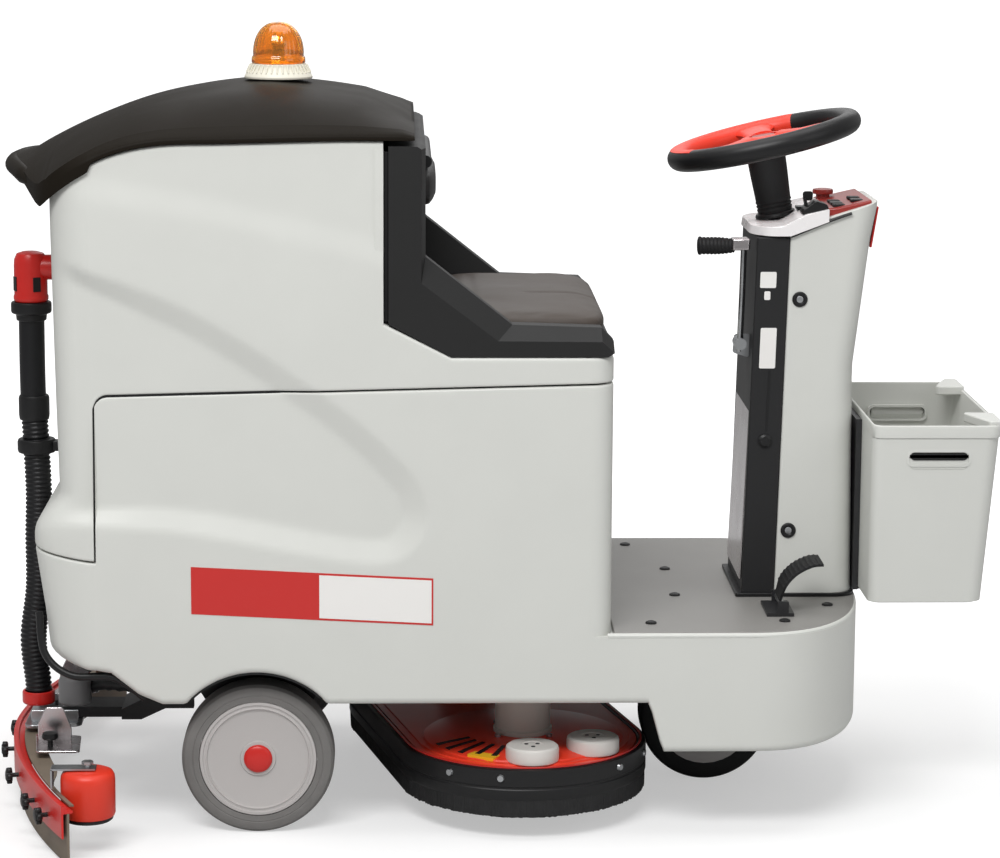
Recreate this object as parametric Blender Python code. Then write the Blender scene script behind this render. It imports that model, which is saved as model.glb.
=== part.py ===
"""Compact ride-on scrubber dryer with a front drive wheel, twin disc brushes and a curved squeegee.

Metres, +X is the driving direction, +Y the machine's left, +Z up, floor at z = 0.
Stations along X are measured from near the middle of the machine; the MACHINE empty then
centres the finished length on the origin.
"""
import math

import bmesh
import bpy
from mathutils import Matrix, Vector

# ---------------------------------------------------------------- clearances and walls
GAP = 0.0003            # clearance between touching pieces
RUN = 0.001             # running clearance round a turning piece
WALL = 0.006            # moulded tank and cover wall
PLATE = 0.012           # chassis plate

# ---------------------------------------------------------------- body
BODY_WIDTH = 0.660
BODY_REAR = -0.645      # rear face of the tanks
BODY_FLARE = 0.027      # how far the rear bumper lip stands behind the rear face
REAR_LEAN = 0.018       # how far the rear face leans in below the lip
BODY_FRONT = 0.545      # nose of the footwell
BODY_BOTTOM = 0.200     # lower edge between the wheels
SKIRT_BOTTOM = 0.127    # lower edge round the drive wheel
SKIRT_START = 0.228     # where the front skirt begins
REAR_LIP_BOTTOM = 0.246
FOOTWELL_FLOOR = 0.300
NOSE_START = 0.360      # where the rounded nose leaves the straight sides
REAR_CORNER = 0.060     # plan radius of the rear corners
SEAT_BASE_FRONT = 0.156  # front wall under the seat
SEAM = 0.655            # joint between lower and upper tank
SEAM_REAR = -0.583      # where the joint turns down at the rear
SEAM_LOW = 0.410        # level of the joint behind SEAM_REAR
SEAT_LINE = SEAM + 0.051   # underside of the seat shell
TANK_FRONT = -0.172     # front wall of the recovery tank
TANK_TOP = 1.003
TANK_TOP_REAR = TANK_TOP - 0.087  # rim height at the rear of the tank
RIM_BREAK = -0.420      # where the rim starts to fall towards the rear
SEAT_RAMP = -0.076      # where the seat base turns up to the tank
RAMP_RISE = 0.048

# ---------------------------------------------------------------- lid and beacon
HINGE_X = -0.1375
HINGE_Z = TANK_TOP + 0.0125
HINGE_PIN = 0.003
LUG_Y = 0.104           # tank lugs that carry the hinge pin
LID_REAR = -0.728
LID_FRONT = -0.128
LID_WALL = 0.005
BEACON_X = -0.330
BEACON_RADIUS = 0.050
BEACON_SEAT = TANK_TOP + 0.0765
BEACON_TOP = BEACON_SEAT + 0.0825
LID_EDGE = TANK_TOP - 0.038  # crown line of the lid at its two ends
LID_CROWN = 0.1125      # rise of the crown line above its ends

# ---------------------------------------------------------------- seat
BACK_THICK = 0.046
BACK_TOP = TANK_TOP - 0.0045
BOLSTER_REAR = SEAT_LINE + 0.160  # where the side bolsters meet the back
SEAT_TOP = SEAT_LINE + 0.051
CUSHION_REAR = -0.096
CUSHION_HALF = BODY_WIDTH / 2 - 0.068
CUSHION_SEAT = SEAT_LINE + 0.018
PAD_HALF = BODY_WIDTH / 2 - 0.140
PAD_LOW = BOLSTER_REAR + 0.002
PAD_HIGH = BACK_TOP - 0.0105
PAD_RECESS = 0.012

# ---------------------------------------------------------------- wheels
REAR_AXLE_X = -0.355
REAR_WHEEL_RADIUS = 0.111
REAR_RIM_RADIUS = 0.0855
REAR_TYRE_WIDTH = 0.055
REAR_TRACK_OUTER = BODY_WIDTH / 2 - 0.030  # half width over the tyres
AXLE_RADIUS = 0.0125
ARCH_CLEARANCE = 0.024
DRIVE_X = 0.322
DRIVE_RADIUS = 0.100
DRIVE_RIM_RADIUS = 0.074
DRIVE_WIDTH = 0.070
FORK_LEG = 0.010
STEM_RADIUS = 0.020

# ---------------------------------------------------------------- chassis
RAIL_Y = 0.090
RAIL_WIDTH = 0.040
RAIL_BOTTOM = 0.216
RAIL_TOP = 0.250
CHASSIS_REAR = -0.560
PIVOT_X = -0.485        # squeegee arm pivot
PIVOT_Z = 0.145
ARM_PIVOT_X = 0.150     # brush deck arm pivot
ARM_PIVOT_Z = 0.205

# ---------------------------------------------------------------- steering
WHEEL_CENTRE = Vector((0.399, 0.0, 0.985))
STEER_TILT = math.radians(10.4)
STEER_RING_RADIUS = 0.1325
STEER_TUBE_RADIUS = 0.015
SHAFT_RADIUS = 0.010
JOINT_HEIGHT = 0.600    # universal joint between the tilted and the upright shaft
SPROCKET_FORK = 0.050
SPROCKET_SHAFT = 0.025
CHAIN_THICK = 0.005
BOOT_RADIUS = 0.0275
BOOT_TOP = 0.948
HORN_RADIUS = 0.020

# ---------------------------------------------------------------- column
COLUMN_REAR = 0.367
COLUMN_FRONT = 0.5365
COLUMN_WAIST = 0.531
COLUMN_WAIST_Z = 0.654
COLUMN_HALF = 0.100
COLUMN_TOP = 0.852
COLUMN_LEAN = 0.014     # how far the rear face moves forward up to the top
COVER_DEPTH = 0.049     # depth of the dark rear cover
COLUMN_WALL = 0.005
PLATE_TOP = 0.306
DASH_THICK = 0.018
SWITCHES = (            # name, station, offset and radius of each control
    ("key_switch", 0.458, -0.070, 0.009),
    ("rocker_switch", 0.458, -0.020, 0.010),
    ("emergency_button", 0.500, 0.060, 0.012),
)
LEVER_X = 0.360         # squeegee lever pivot
LEVER_Y = -0.074
LEVER_Z = 0.690
GRIP_Z = 0.836
PEDAL_X = 0.415         # accelerator pivot
PEDAL_Y = -0.190
PEDAL_Z = 0.320
PEDAL_HALF = 0.034

# ---------------------------------------------------------------- bin
BIN_REAR = 0.5455
BIN_FRONT = 0.736
BIN_TAPER = 0.020
BIN_HALF = 0.204
BIN_BOTTOM = 0.322
BIN_TOP = 0.586
BIN_WALL = 0.004

# ---------------------------------------------------------------- brush deck
BRUSH_RADIUS = 0.165
BRUSH_MIDDLE = -0.005   # station midway between the two brushes
BRUSH_STAGGER = 0.040   # the right brush stands this far ahead of the middle, the left one behind
BRUSH_SPREAD = BRUSH_RADIUS - 0.002
NEAR_BRUSH = (BRUSH_MIDDLE + BRUSH_STAGGER, -BRUSH_SPREAD)
FAR_BRUSH = (BRUSH_MIDDLE - BRUSH_STAGGER, BRUSH_SPREAD)
SKIRT_GAP = 0.008
SKIRT_WALL = 0.012
DECK_BOTTOM = 0.030
DECK_TOP = 0.106
MOTOR_RADIUS = 0.042
MOTOR_HEIGHT = 0.106
ROLLER_RADIUS = 0.039
ROLLER_SPOTS = (("front", -40.0), ("rear", -86.0))  # bearing of each deck roller, degrees
ARM_TIP_Z = 0.145       # pin of the lift link in the deck's ears
SLOT_HALF = 0.0067      # half height of the slot that the pin slides in

# ---------------------------------------------------------------- squeegee
BAR_REAR = -0.7405      # rear face at the middle of the curved bar
BAR_SWEEP = 0.117       # how far the ends sit ahead of the middle
BAR_HALF = 0.460
BAR_THICK = 0.008
BLADE_THICK = 0.003
ARM_END_X = -0.655      # squeegee swing pivot
KNOB_REACH = 0.020
KNOB_Y = 0.060
ROLLER_Y = 0.380        # bumper rollers at the ends of the bar
COUPLING_TOP = 0.118
HOSE_X = -0.706         # suction coupling on the bar
HOSE_RADIUS = 0.0195
ELBOW_X = -0.705        # elbow into the recovery tank
ELBOW_Z = 0.795

SEGMENTS = 24
WHEEL_SEGMENTS = 32

COLOURS = {
    "shell_grey": ((0.60, 0.61, 0.58), 0.45, 0.0),
    "charcoal": ((0.045, 0.043, 0.040), 0.50, 0.0),
    "seat_grey": ((0.095, 0.083, 0.075), 0.65, 0.0),
    "black": ((0.015, 0.015, 0.016), 0.55, 0.0),
    "tyre": ((0.060, 0.060, 0.060), 0.80, 0.0),
    "hub_grey": ((0.36, 0.34, 0.33), 0.50, 0.0),
    "red": ((0.70, 0.050, 0.025), 0.40, 0.0),
    "steel": ((0.55, 0.56, 0.57), 0.30, 1.0),
    "paint": ((0.050, 0.052, 0.056), 0.45, 0.0),
    "plate_grey": ((0.16, 0.15, 0.145), 0.60, 0.0),
    "silver": ((0.50, 0.48, 0.47), 0.35, 0.0),
    "amber": ((0.80, 0.27, 0.02), 0.15, 0.0),
    "cream": ((0.72, 0.70, 0.62), 0.45, 0.0),
    "battery": ((0.10, 0.10, 0.11), 0.55, 0.0),
    "motor": ((0.40, 0.40, 0.38), 0.45, 0.0),
}


# ================================================================ scene helpers
def clear_scene():
    for item in list(bpy.data.objects):
        bpy.data.objects.remove(item, do_unlink=True)


def make_materials():
    made = {}
    for name, (colour, roughness, metallic) in COLOURS.items():
        made[name] = bpy.data.materials.new(name)
        made[name].use_nodes = True
        shader = made[name].node_tree.nodes["Principled BSDF"]
        shader.inputs["Base Color"].default_value = (*colour, 1.0)
        shader.inputs["Roughness"].default_value = roughness
        shader.inputs["Metallic"].default_value = metallic
    return made


def node(name, shape, material, origin=(0.0, 0.0, 0.0), angle=30.0):
    """One named piece whose object origin sits at the given station point."""
    mesh = bpy.data.meshes.new(name)
    bmesh.ops.translate(shape, verts=shape.verts, vec=-Vector(origin))
    shape.to_mesh(mesh)
    shape.free()
    mesh.materials.append(MATERIALS[material])
    mesh.shade_smooth()
    mesh.set_sharp_from_angle(angle=math.radians(angle))
    item = bpy.data.objects.new(name, mesh)
    bpy.context.scene.collection.objects.link(item)
    item.parent = MACHINE
    item.location = origin
    return item


# ================================================================ shape helpers
def prism(outline, axis, low, high):
    """Closed outline of (u, v) points pushed along an axis: Y takes (x, z), Z (x, y), X (y, z)."""
    shape = bmesh.new()
    spots = {"X": lambda u, v, w: (w, u, v), "Y": lambda u, v, w: (u, w, v), "Z": lambda u, v, w: (u, v, w)}
    put = spots[axis]
    rings = [[shape.verts.new(put(u, v, w)) for u, v in outline] for w in (low, high)]
    shape.faces.new(rings[0])
    shape.faces.new(rings[1])
    for i in range(len(outline)):
        j = (i + 1) % len(outline)
        shape.faces.new((rings[0][i], rings[0][j], rings[1][j], rings[1][i]))
    bmesh.ops.recalc_face_normals(shape, faces=shape.faces)
    return shape


def box(low, high, bevel=0.0, segments=2):
    outline = [(low[0], low[1]), (high[0], low[1]), (high[0], high[1]), (low[0], high[1])]
    shape = prism(outline, "Z", low[2], high[2])
    if bevel:
        soften(shape, bevel, segments)
    return shape


def soften(shape, width, segments=2, chosen=None):
    edges = [edge for edge in shape.edges if chosen is None or chosen(edge)]
    sharp = [edge for edge in edges if edge.calc_face_angle(0.0) > math.radians(30)]
    bmesh.ops.bevel(
        shape, geom=sharp, offset=width, segments=segments, profile=0.5, affect="EDGES", clamp_overlap=True
    )


def turned(profile, centre=(0, 0, 0), direction=(0, 0, 1), segments=SEGMENTS):
    """Lathe a profile of (radius, height) points, closed onto itself; radius 0 gives a pole."""
    shape = bmesh.new()
    rings = []
    for radius, height in profile:
        if radius == 0:
            rings.append([shape.verts.new((0, 0, height))])
            continue
        ring = []
        for k in range(segments):
            turn = 2 * math.pi * k / segments
            ring.append(shape.verts.new((radius * math.cos(turn), radius * math.sin(turn), height)))
        rings.append(ring)
    for lower, upper in zip(rings, rings[1:] + rings[:1]):
        if len(lower) == len(upper) == 1:
            continue
        for k in range(segments):
            after = (k + 1) % segments
            corners = [lower[k % len(lower)], lower[after % len(lower)], upper[after % len(upper)],
                       upper[k % len(upper)]]
            shape.faces.new(list(dict.fromkeys(corners)))
    bmesh.ops.recalc_face_normals(shape, faces=shape.faces)
    turn = Vector((0, 0, 1)).rotation_difference(Vector(direction)).to_matrix().to_4x4()
    shape.transform(Matrix.Translation(Vector(centre)) @ turn)
    return shape


def rod(start, end, radius, segments=16):
    start, end = Vector(start), Vector(end)
    length = (end - start).length
    return turned([(0, 0), (radius, 0), (radius, length), (0, length)], start, end - start, segments)


def swept(points, radius, segments=12):
    """A round tube of constant radius through the points, with flat ends."""
    shape = bmesh.new()
    points = [Vector(p) for p in points]
    rings = []
    side = Vector((0, 1, 0))
    for i, point in enumerate(points):
        ahead = points[min(i + 1, len(points) - 1)] - points[max(i - 1, 0)]
        ahead.normalize()
        across = (side - ahead * side.dot(ahead)).normalized()
        up = ahead.cross(across)
        turns = [2 * math.pi * k / segments for k in range(segments)]
        rings.append([shape.verts.new(point + radius * (math.cos(t) * across + math.sin(t) * up))
                      for t in turns])
    for lower, upper in zip(rings, rings[1:]):
        for k in range(segments):
            after = (k + 1) % segments
            shape.faces.new((lower[k], lower[after], upper[after], upper[k]))
    shape.faces.new(rings[0])
    shape.faces.new(rings[-1])
    bmesh.ops.recalc_face_normals(shape, faces=shape.faces)
    return shape


def helper_object(shape):
    mesh = bpy.data.meshes.new("helper")
    shape.to_mesh(mesh)
    shape.free()
    item = bpy.data.objects.new("helper", mesh)
    bpy.context.scene.collection.objects.link(item)
    return item


def combined(base, add=(), keep=(), cut=()):
    """One solid: base with every shape of add, kept inside keep, less every shape of cut."""
    target = helper_object(base)
    helpers = [target]
    for operation, shapes in (("UNION", add), ("INTERSECT", keep), ("DIFFERENCE", cut)):
        for shape in shapes:
            helper = helper_object(shape)
            helpers.append(helper)
            modifier = target.modifiers.new(operation, "BOOLEAN")
            modifier.operation = operation
            modifier.object = helper
    depsgraph = bpy.context.evaluated_depsgraph_get()
    result = bmesh.new()
    result.from_mesh(target.evaluated_get(depsgraph).data)
    for helper in helpers:
        bpy.data.objects.remove(helper, do_unlink=True)
    bmesh.ops.dissolve_limit(result, angle_limit=math.radians(0.5), verts=result.verts, edges=result.edges)
    return result


def arc(centre, radius, start, end, steps):
    """Points on a circle from one angle to another, in degrees."""
    points = []
    for k in range(steps + 1):
        turn = math.radians(start + (end - start) * k / steps)
        points.append((centre[0] + radius * math.cos(turn), centre[1] + radius * math.sin(turn)))
    return points


def inset(outline, distance):
    """The outline moved inwards by a distance, corner by corner, whichever way it runs."""
    count = len(outline)
    area = sum(
        outline[i][0] * outline[(i + 1) % count][1] - outline[(i + 1) % count][0] * outline[i][1]
        for i in range(count)
    )
    side = math.copysign(1.0, area)
    moved = []
    for i in range(count):
        before, here, after = Vector(outline[i - 1]), Vector(outline[i]), Vector(outline[(i + 1) % count])
        one = (here - before).normalized()
        two = (after - here).normalized()
        normal_one = Vector((-one.y, one.x)) * side
        normal_two = Vector((-two.y, two.x)) * side
        middle = (normal_one + normal_two).normalized()
        moved.append(tuple(here + middle * distance / max(middle.dot(normal_one), 0.3)))
    return moved


def mirrored(points):
    """An outline on +Y closed by its mirror image on -Y, given from one end of the axis to the other."""
    return points + [(x, -y) for x, y in reversed(points)]


# ================================================================ outlines of the body
def body_plan(shrink=0.0):
    """Plan of the lower body: rounded rear corners, straight sides and a superelliptic nose."""
    half = BODY_WIDTH / 2 - shrink
    rear = BODY_REAR - BODY_FLARE + shrink
    front = BODY_FRONT - shrink
    corner = REAR_CORNER - shrink
    side = arc((rear + corner, half - corner), corner, 180, 90, 5)
    steps = 9
    for k in range(steps):
        turn = math.pi / 2 * k / steps
        x = NOSE_START + (front - NOSE_START) * math.sin(turn) ** 0.85
        side.append((x, half * math.cos(turn) ** 0.8))
    side.append((front, half * 0.16))
    return mirrored(side)


def upper_plan(front, shrink=0.0, corner=0.030):
    """Plan of the upper tank and the seat base."""
    half = BODY_WIDTH / 2 - shrink
    rear = BODY_REAR - BODY_FLARE + shrink
    big = REAR_CORNER - shrink
    small = max(corner - shrink, 0.004)
    side = arc((rear + big, half - big), big, 180, 90, 5)
    side += arc((front - shrink - small, half - small), small, 90, 0, 3)
    return mirrored(side)


def lower_side(shrink=0.0):
    """Side view of the lower body."""
    rear = BODY_REAR - BODY_FLARE
    outline = [
        (SKIRT_START, SKIRT_BOTTOM), (BODY_FRONT - 0.060, SKIRT_BOTTOM), (BODY_FRONT - 0.022,
                                        SKIRT_BOTTOM + 0.018),
        (BODY_FRONT + 0.003, SKIRT_BOTTOM + 0.060), (BODY_FRONT + 0.003, FOOTWELL_FLOOR),
        (SEAT_BASE_FRONT, FOOTWELL_FLOOR), (SEAT_BASE_FRONT, SEAM),
        (SEAM_REAR + 0.020, SEAM), (SEAM_REAR + 0.006, SEAM - 0.006), (SEAM_REAR, SEAM - 0.020),
        (SEAM_REAR, SEAM_LOW), (rear - 0.002, SEAM_LOW + 0.018), (rear + 0.012, 0.330),
        (rear + REAR_LEAN, REAR_LIP_BOTTOM + 0.026), (rear + 0.055, REAR_LIP_BOTTOM), (SEAM_REAR + 0.020,
                                        REAR_LIP_BOTTOM),
        (SEAM_REAR + 0.060, BODY_BOTTOM + 0.014),
    ]
    axle = (REAR_AXLE_X, REAR_WHEEL_RADIUS)
    radius = REAR_WHEEL_RADIUS + ARCH_CLEARANCE
    lift = math.degrees(math.asin((BODY_BOTTOM - axle[1]) / radius))
    lift_rear = math.degrees(math.asin((BODY_BOTTOM + 0.014 - axle[1]) / radius))
    outline += arc(axle, radius, 180 - lift_rear, lift, 10)
    outline += [(SKIRT_START - 0.012, BODY_BOTTOM), (SKIRT_START - 0.003, BODY_BOTTOM - 0.020)]
    return inset(outline, shrink) if shrink else outline


def tank_rim(x):
    """Height of the recovery tank's rim: level, then falling away to the rear."""
    share = max(RIM_BREAK - x, 0) / (RIM_BREAK - BODY_REAR)
    return TANK_TOP - (TANK_TOP - TANK_TOP_REAR) * share ** 2.8


def upper_side():
    """Side view of the recovery tank with the seat base, above the joint."""
    rear = BODY_REAR - BODY_FLARE
    return [
        (SEAT_BASE_FRONT, SEAM + GAP), (SEAT_BASE_FRONT, SEAT_LINE), (SEAT_RAMP, SEAT_LINE),
        (TANK_FRONT, SEAT_LINE + RAMP_RISE), (TANK_FRONT, TANK_TOP),
    ] + [(x, tank_rim(x)) for x in (RIM_BREAK, -0.500, -0.560, -0.605, BODY_REAR - 0.001)] + [
        (BODY_REAR + 0.003, 0.786), (BODY_REAR + 0.005, 0.643), (BODY_REAR + 0.008, 0.500),
        (BODY_REAR - 0.014, 0.478), (rear - 0.002, 0.454), (rear - 0.002, SEAM_LOW + 0.018 + GAP),
        (SEAM_REAR - GAP, SEAM_LOW + GAP), (SEAM_REAR - GAP, SEAM - 0.020), (SEAM_REAR + 0.006,
                                        SEAM - 0.006 + GAP),
        (SEAM_REAR + 0.020, SEAM + GAP),
    ]


# ================================================================ chassis and body
def chassis_frame():
    front = BODY_FRONT - 0.060
    tray_rear, tray_front = -0.460, 0.148
    rail = [box((CHASSIS_REAR, s * RAIL_Y - RAIL_WIDTH / 2, RAIL_BOTTOM),
                (0.185, s * RAIL_Y + RAIL_WIDTH / 2, RAIL_TOP))
            for s in (-1, 1)]
    add = [rail[1]]
    tray_low = RAIL_TOP - 0.001
    add.append(box((tray_rear, -0.205, tray_low), (tray_front, 0.205, RAIL_TOP + 0.005)))
    add.append(box((tray_front - 0.010, -0.215, tray_low), (front, 0.215, RAIL_TOP + PLATE)))
    add.append(box((CHASSIS_REAR - 0.010, -0.200, RAIL_BOTTOM + 0.004), (CHASSIS_REAR + 0.030, 0.200,
                                        RAIL_TOP - 0.004)))
    post_top = FOOTWELL_FLOOR - WALL - GAP
    for x in (0.215, front - 0.035):
        for s in (-1, 1):
            add.append(box((x - 0.018, s * 0.185 - 0.018, RAIL_TOP), (x + 0.018, s * 0.185 + 0.018,
                                        post_top)))
    for s in (-1, 1):
        y = s * RAIL_Y
        add.append(box((REAR_AXLE_X - 0.030, y - 0.006, REAR_WHEEL_RADIUS - 0.025), (REAR_AXLE_X + 0.030,
                                        y + 0.006, RAIL_BOTTOM + 0.004)))
        ear_y = s * 0.062
        add.append(box((PIVOT_X - 0.022, ear_y - 0.006, PIVOT_Z - 0.020), (PIVOT_X + 0.022, ear_y + 0.010,
                                        RAIL_BOTTOM + 0.008)))
        add.append(box((PIVOT_X - 0.022, ear_y - 0.006, RAIL_BOTTOM + 0.002), (PIVOT_X + 0.022,
                                        s * (RAIL_Y + 0.01), RAIL_TOP - 0.002)))
        add.append(box((ARM_PIVOT_X - 0.016, y - 0.020, ARM_PIVOT_Z - 0.016), (ARM_PIVOT_X + 0.016,
                                        y - 0.012 * s, RAIL_BOTTOM + 0.004)))
    cut = [
        rod((REAR_AXLE_X, -0.2, REAR_WHEEL_RADIUS), (REAR_AXLE_X, 0.2, REAR_WHEEL_RADIUS),
            AXLE_RADIUS + GAP),
        rod((PIVOT_X, -0.08, PIVOT_Z), (PIVOT_X, 0.08, PIVOT_Z), 0.0083),
        rod((ARM_PIVOT_X, -0.12, ARM_PIVOT_Z), (ARM_PIVOT_X, 0.12, ARM_PIVOT_Z), 0.0063),
        rod((DRIVE_X, 0, 0.2), (DRIVE_X, 0, 0.3), STEM_RADIUS + GAP, SEGMENTS),
        rod((lower_shaft_x(), 0, 0.2), (lower_shaft_x(), 0, 0.3), SHAFT_RADIUS + GAP),
    ]
    motor_top = DECK_TOP + 0.010 + GAP + MOTOR_HEIGHT
    cut += [rod((x, y, RAIL_BOTTOM - 0.010), (x, y, motor_top + 0.003), MOTOR_RADIUS + 0.001) for x,
            y in (NEAR_BRUSH, FAR_BRUSH)]
    node("chassis_frame", combined(rail[0], add=add, cut=cut), "paint")


def solution_tank():
    half = BODY_WIDTH / 2
    shell = prism(lower_side(), "Y", -half - 0.01, half + 0.01)
    hollow = combined(
        prism(body_plan(WALL), "Z", -0.01, SEAM - WALL),
        cut=[
            box((SEAT_BASE_FRONT - WALL, -1, FOOTWELL_FLOOR - WALL), (1, 1, 1)),
            box((-1, -1, SEAM_LOW - WALL), (SEAM_REAR + WALL, 1, 1)),
            box((-1, -1, -1), (BODY_REAR - BODY_FLARE + REAR_LEAN + WALL, 1, 1)),
        ],
    )
    hatch = box((-0.150, -0.250, SEAM - 0.02), (SEAT_BASE_FRONT - 0.030, 0.250, SEAM + 0.02))
    shaft = rod((lower_shaft_x(), 0, 0.28), (lower_shaft_x(), 0, 0.32), SHAFT_RADIUS + 0.002)
    shape = combined(shell, keep=[prism(body_plan(), "Z", 0, 1)], cut=[hollow, hatch, shaft])
    node("solution_tank", shape, "shell_grey")


def recovery_tank():
    half = BODY_WIDTH / 2
    shell = prism(upper_side(), "Y", -half - 0.01, half + 0.01)
    floor = SEAM + GAP + WALL
    tank = prism(upper_plan(TANK_FRONT, WALL), "Z", floor, TANK_TOP + 0.1)
    tank_rear = combined(tank, cut=[box((-1, -1, 0), (BODY_REAR + WALL + 0.006, 1, 2))])
    sump = box((BODY_REAR + 0.008 + WALL, -half + REAR_CORNER, SEAM_LOW + WALL + 0.012),
               (SEAM_REAR - WALL, half - REAR_CORNER, floor + 0.01))
    under_seat = box((TANK_FRONT + WALL, -half + WALL, SEAM - 0.01), (SEAT_BASE_FRONT - WALL, half - WALL,
                                        SEAT_LINE - WALL))
    suction = rod((BODY_REAR - 0.03, 0, ELBOW_Z), (BODY_REAR + 0.05, 0, ELBOW_Z), 0.020)
    lug = []
    for s in (-1, 1):
        y = s * LUG_Y
        lug.append(box((TANK_FRONT - WALL, y - 0.005, TANK_TOP - 0.03), (TANK_FRONT - 0.0006, y + 0.005,
                                        HINGE_Z + 0.005)))
        lug.append(box((TANK_FRONT - WALL, y - 0.005, TANK_TOP), (HINGE_X + 0.004, y + 0.005,
                                        HINGE_Z + 0.005)))
    pin = rod((HINGE_X, -0.2, HINGE_Z), (HINGE_X, 0.2, HINGE_Z), HINGE_PIN + GAP)
    body = combined(shell, keep=[prism(upper_plan(SEAT_BASE_FRONT), "Z", 0, 2)], cut=[tank_rear, sump,
                                        under_seat, suction])
    node("recovery_tank", combined(body, add=lug, cut=[pin]), "shell_grey")


def lid_rim(x):
    """Height of the lid's lower edge: it follows the tank rim and then rises to the rear grip."""
    if x > BODY_REAR:
        return tank_rim(x) + 0.0007 + 0.0030 * max(RIM_BREAK - x, 0) / (RIM_BREAK - BODY_REAR)
    share = (BODY_REAR - x) / (BODY_REAR - LID_REAR)
    return TANK_TOP_REAR + 0.0037 + 0.033 * share


def lid_crown(x):
    """Height of the lid along its centre line."""
    t = (x - LID_REAR) / (LID_FRONT - LID_REAR)
    return LID_EDGE + LID_CROWN * math.sin(math.pi * min(t, 1) ** 0.85 * 0.78) ** 0.9


def lid_surface(x, y, drop=0.0, half=0.33):
    share = min(abs(y) / half, 1.0)
    rise = max(1 - share ** 2.6, 0.0)
    low = lid_rim(x) + 0.010
    return low + (max(lid_crown(x) - low, 0.002)) * rise - drop


def tank_lid():
    """Crowned cover: an outer skin over an inner one, joined along the rim."""
    across = 10
    stations = 14
    shape = bmesh.new()

    def half_at(x):
        t = max(0.0, (BODY_REAR + 0.035 - x) / (BODY_REAR + 0.035 - LID_REAR))
        return BODY_WIDTH / 2 * math.sqrt(max(1 - 0.62 * t ** 2, 0.05))

    def skin(margin, drop):
        rows = []
        for i in range(stations + 1):
            share = i / stations
            x = LID_REAR + margin + (LID_FRONT - LID_REAR - 2 * margin) * share
            half = half_at(x) - margin
            row = []
            for j in range(across + 1):
                y = -half + 2 * half * j / across
                row.append(shape.verts.new((x, y, lid_surface(x, y, drop, half))))
            rows.append(row)
        return rows

    outer = skin(0.0, 0.0)
    inner = skin(LID_WALL, LID_WALL)
    for rows in (outer, inner):
        for i in range(stations):
            for j in range(across):
                shape.faces.new((rows[i][j], rows[i + 1][j], rows[i + 1][j + 1], rows[i][j + 1]))

    def border(rows):
        return rows[0][:] + [r[-1] for r in rows[1:-1]] + rows[-1][::-1] + [r[0] for r in rows[-2:0:-1]]

    def rim_points(loop, keep):
        return [shape.verts.new((v.co.x, v.co.y, lid_rim(v.co.x))) if keep else v for v in loop]

    out_loop, in_loop = border(outer), border(inner)
    out_rim, in_rim = rim_points(out_loop, True), rim_points(in_loop, True)
    count = len(out_loop)
    for a, b in ((out_loop, out_rim), (out_rim, in_rim), (in_rim, in_loop)):
        for k in range(count):
            after = (k + 1) % count
            shape.faces.new((a[k], a[after], b[after], b[k]))
    bmesh.ops.recalc_face_normals(shape, faces=shape.faces)
    top = BEACON_SEAT
    boss_low = top - 0.0195
    boss = turned([(0, boss_low), (BEACON_RADIUS, boss_low), (BEACON_RADIUS, top), (0, top)],
                  (BEACON_X, 0, 0))
    knuckles = []
    for s in (-1, 1):
        y = s * 0.1155
        roof = lid_surface(HINGE_X - 0.006, y) - 0.002
        knuckles.append(box((HINGE_X - 0.0065, y - 0.005, HINGE_Z - 0.0065), (HINGE_X + 0.0045, y + 0.005,
                                        roof)))
    notches = [box((LID_FRONT - LID_WALL - 0.003, s * LUG_Y - 0.0065, TANK_TOP - 0.01), (LID_FRONT + 0.01,
                                        s * LUG_Y + 0.0065, HINGE_Z + 0.0085))
               for s in (-1, 1)]
    pin = rod((HINGE_X, -0.2, HINGE_Z), (HINGE_X, 0.2, HINGE_Z), HINGE_PIN + GAP)
    node("tank_lid", combined(shape, add=[boss] + knuckles, cut=[pin] + notches), "charcoal",
         (HINGE_X, 0, HINGE_Z))
    node("lid_hinge_pin", rod((HINGE_X, -0.125, HINGE_Z), (HINGE_X, 0.125, HINGE_Z), HINGE_PIN, 12),
         "steel")


def beacon():
    z = BEACON_SEAT + GAP
    centre = (BEACON_X, 0, 0)
    base = turned([(0, z), (0.049, z), (0.049, z + 0.006), (0.041, z + 0.010), (0.041, z + 0.020),
                   (0, z + 0.020)], centre)
    lens_low = z + 0.020 + GAP
    radius, wall, rise = 0.0365, 0.0025, 0.034
    height = BEACON_TOP - lens_low - rise
    outer = [(radius, lens_low)] + [(radius * math.cos(t), lens_low + rise + height * math.sin(t))
                                    for t in [math.pi / 2 * k / 4 for k in range(4)]] + [(0, BEACON_TOP)]
    inner = [(0, BEACON_TOP - wall)] + [((radius - wall) * math.cos(t),
                                        lens_low + rise + (height - wall) * math.sin(t))
                                   for t in [math.pi / 2 * k / 4 for k in range(3, -1,
                                        -1)]] + [(radius - wall, lens_low)]
    node("beacon_base", base, "cream")
    lens = turned_open(outer, inner, centre)
    node("beacon_lens", lens, "amber")


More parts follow.
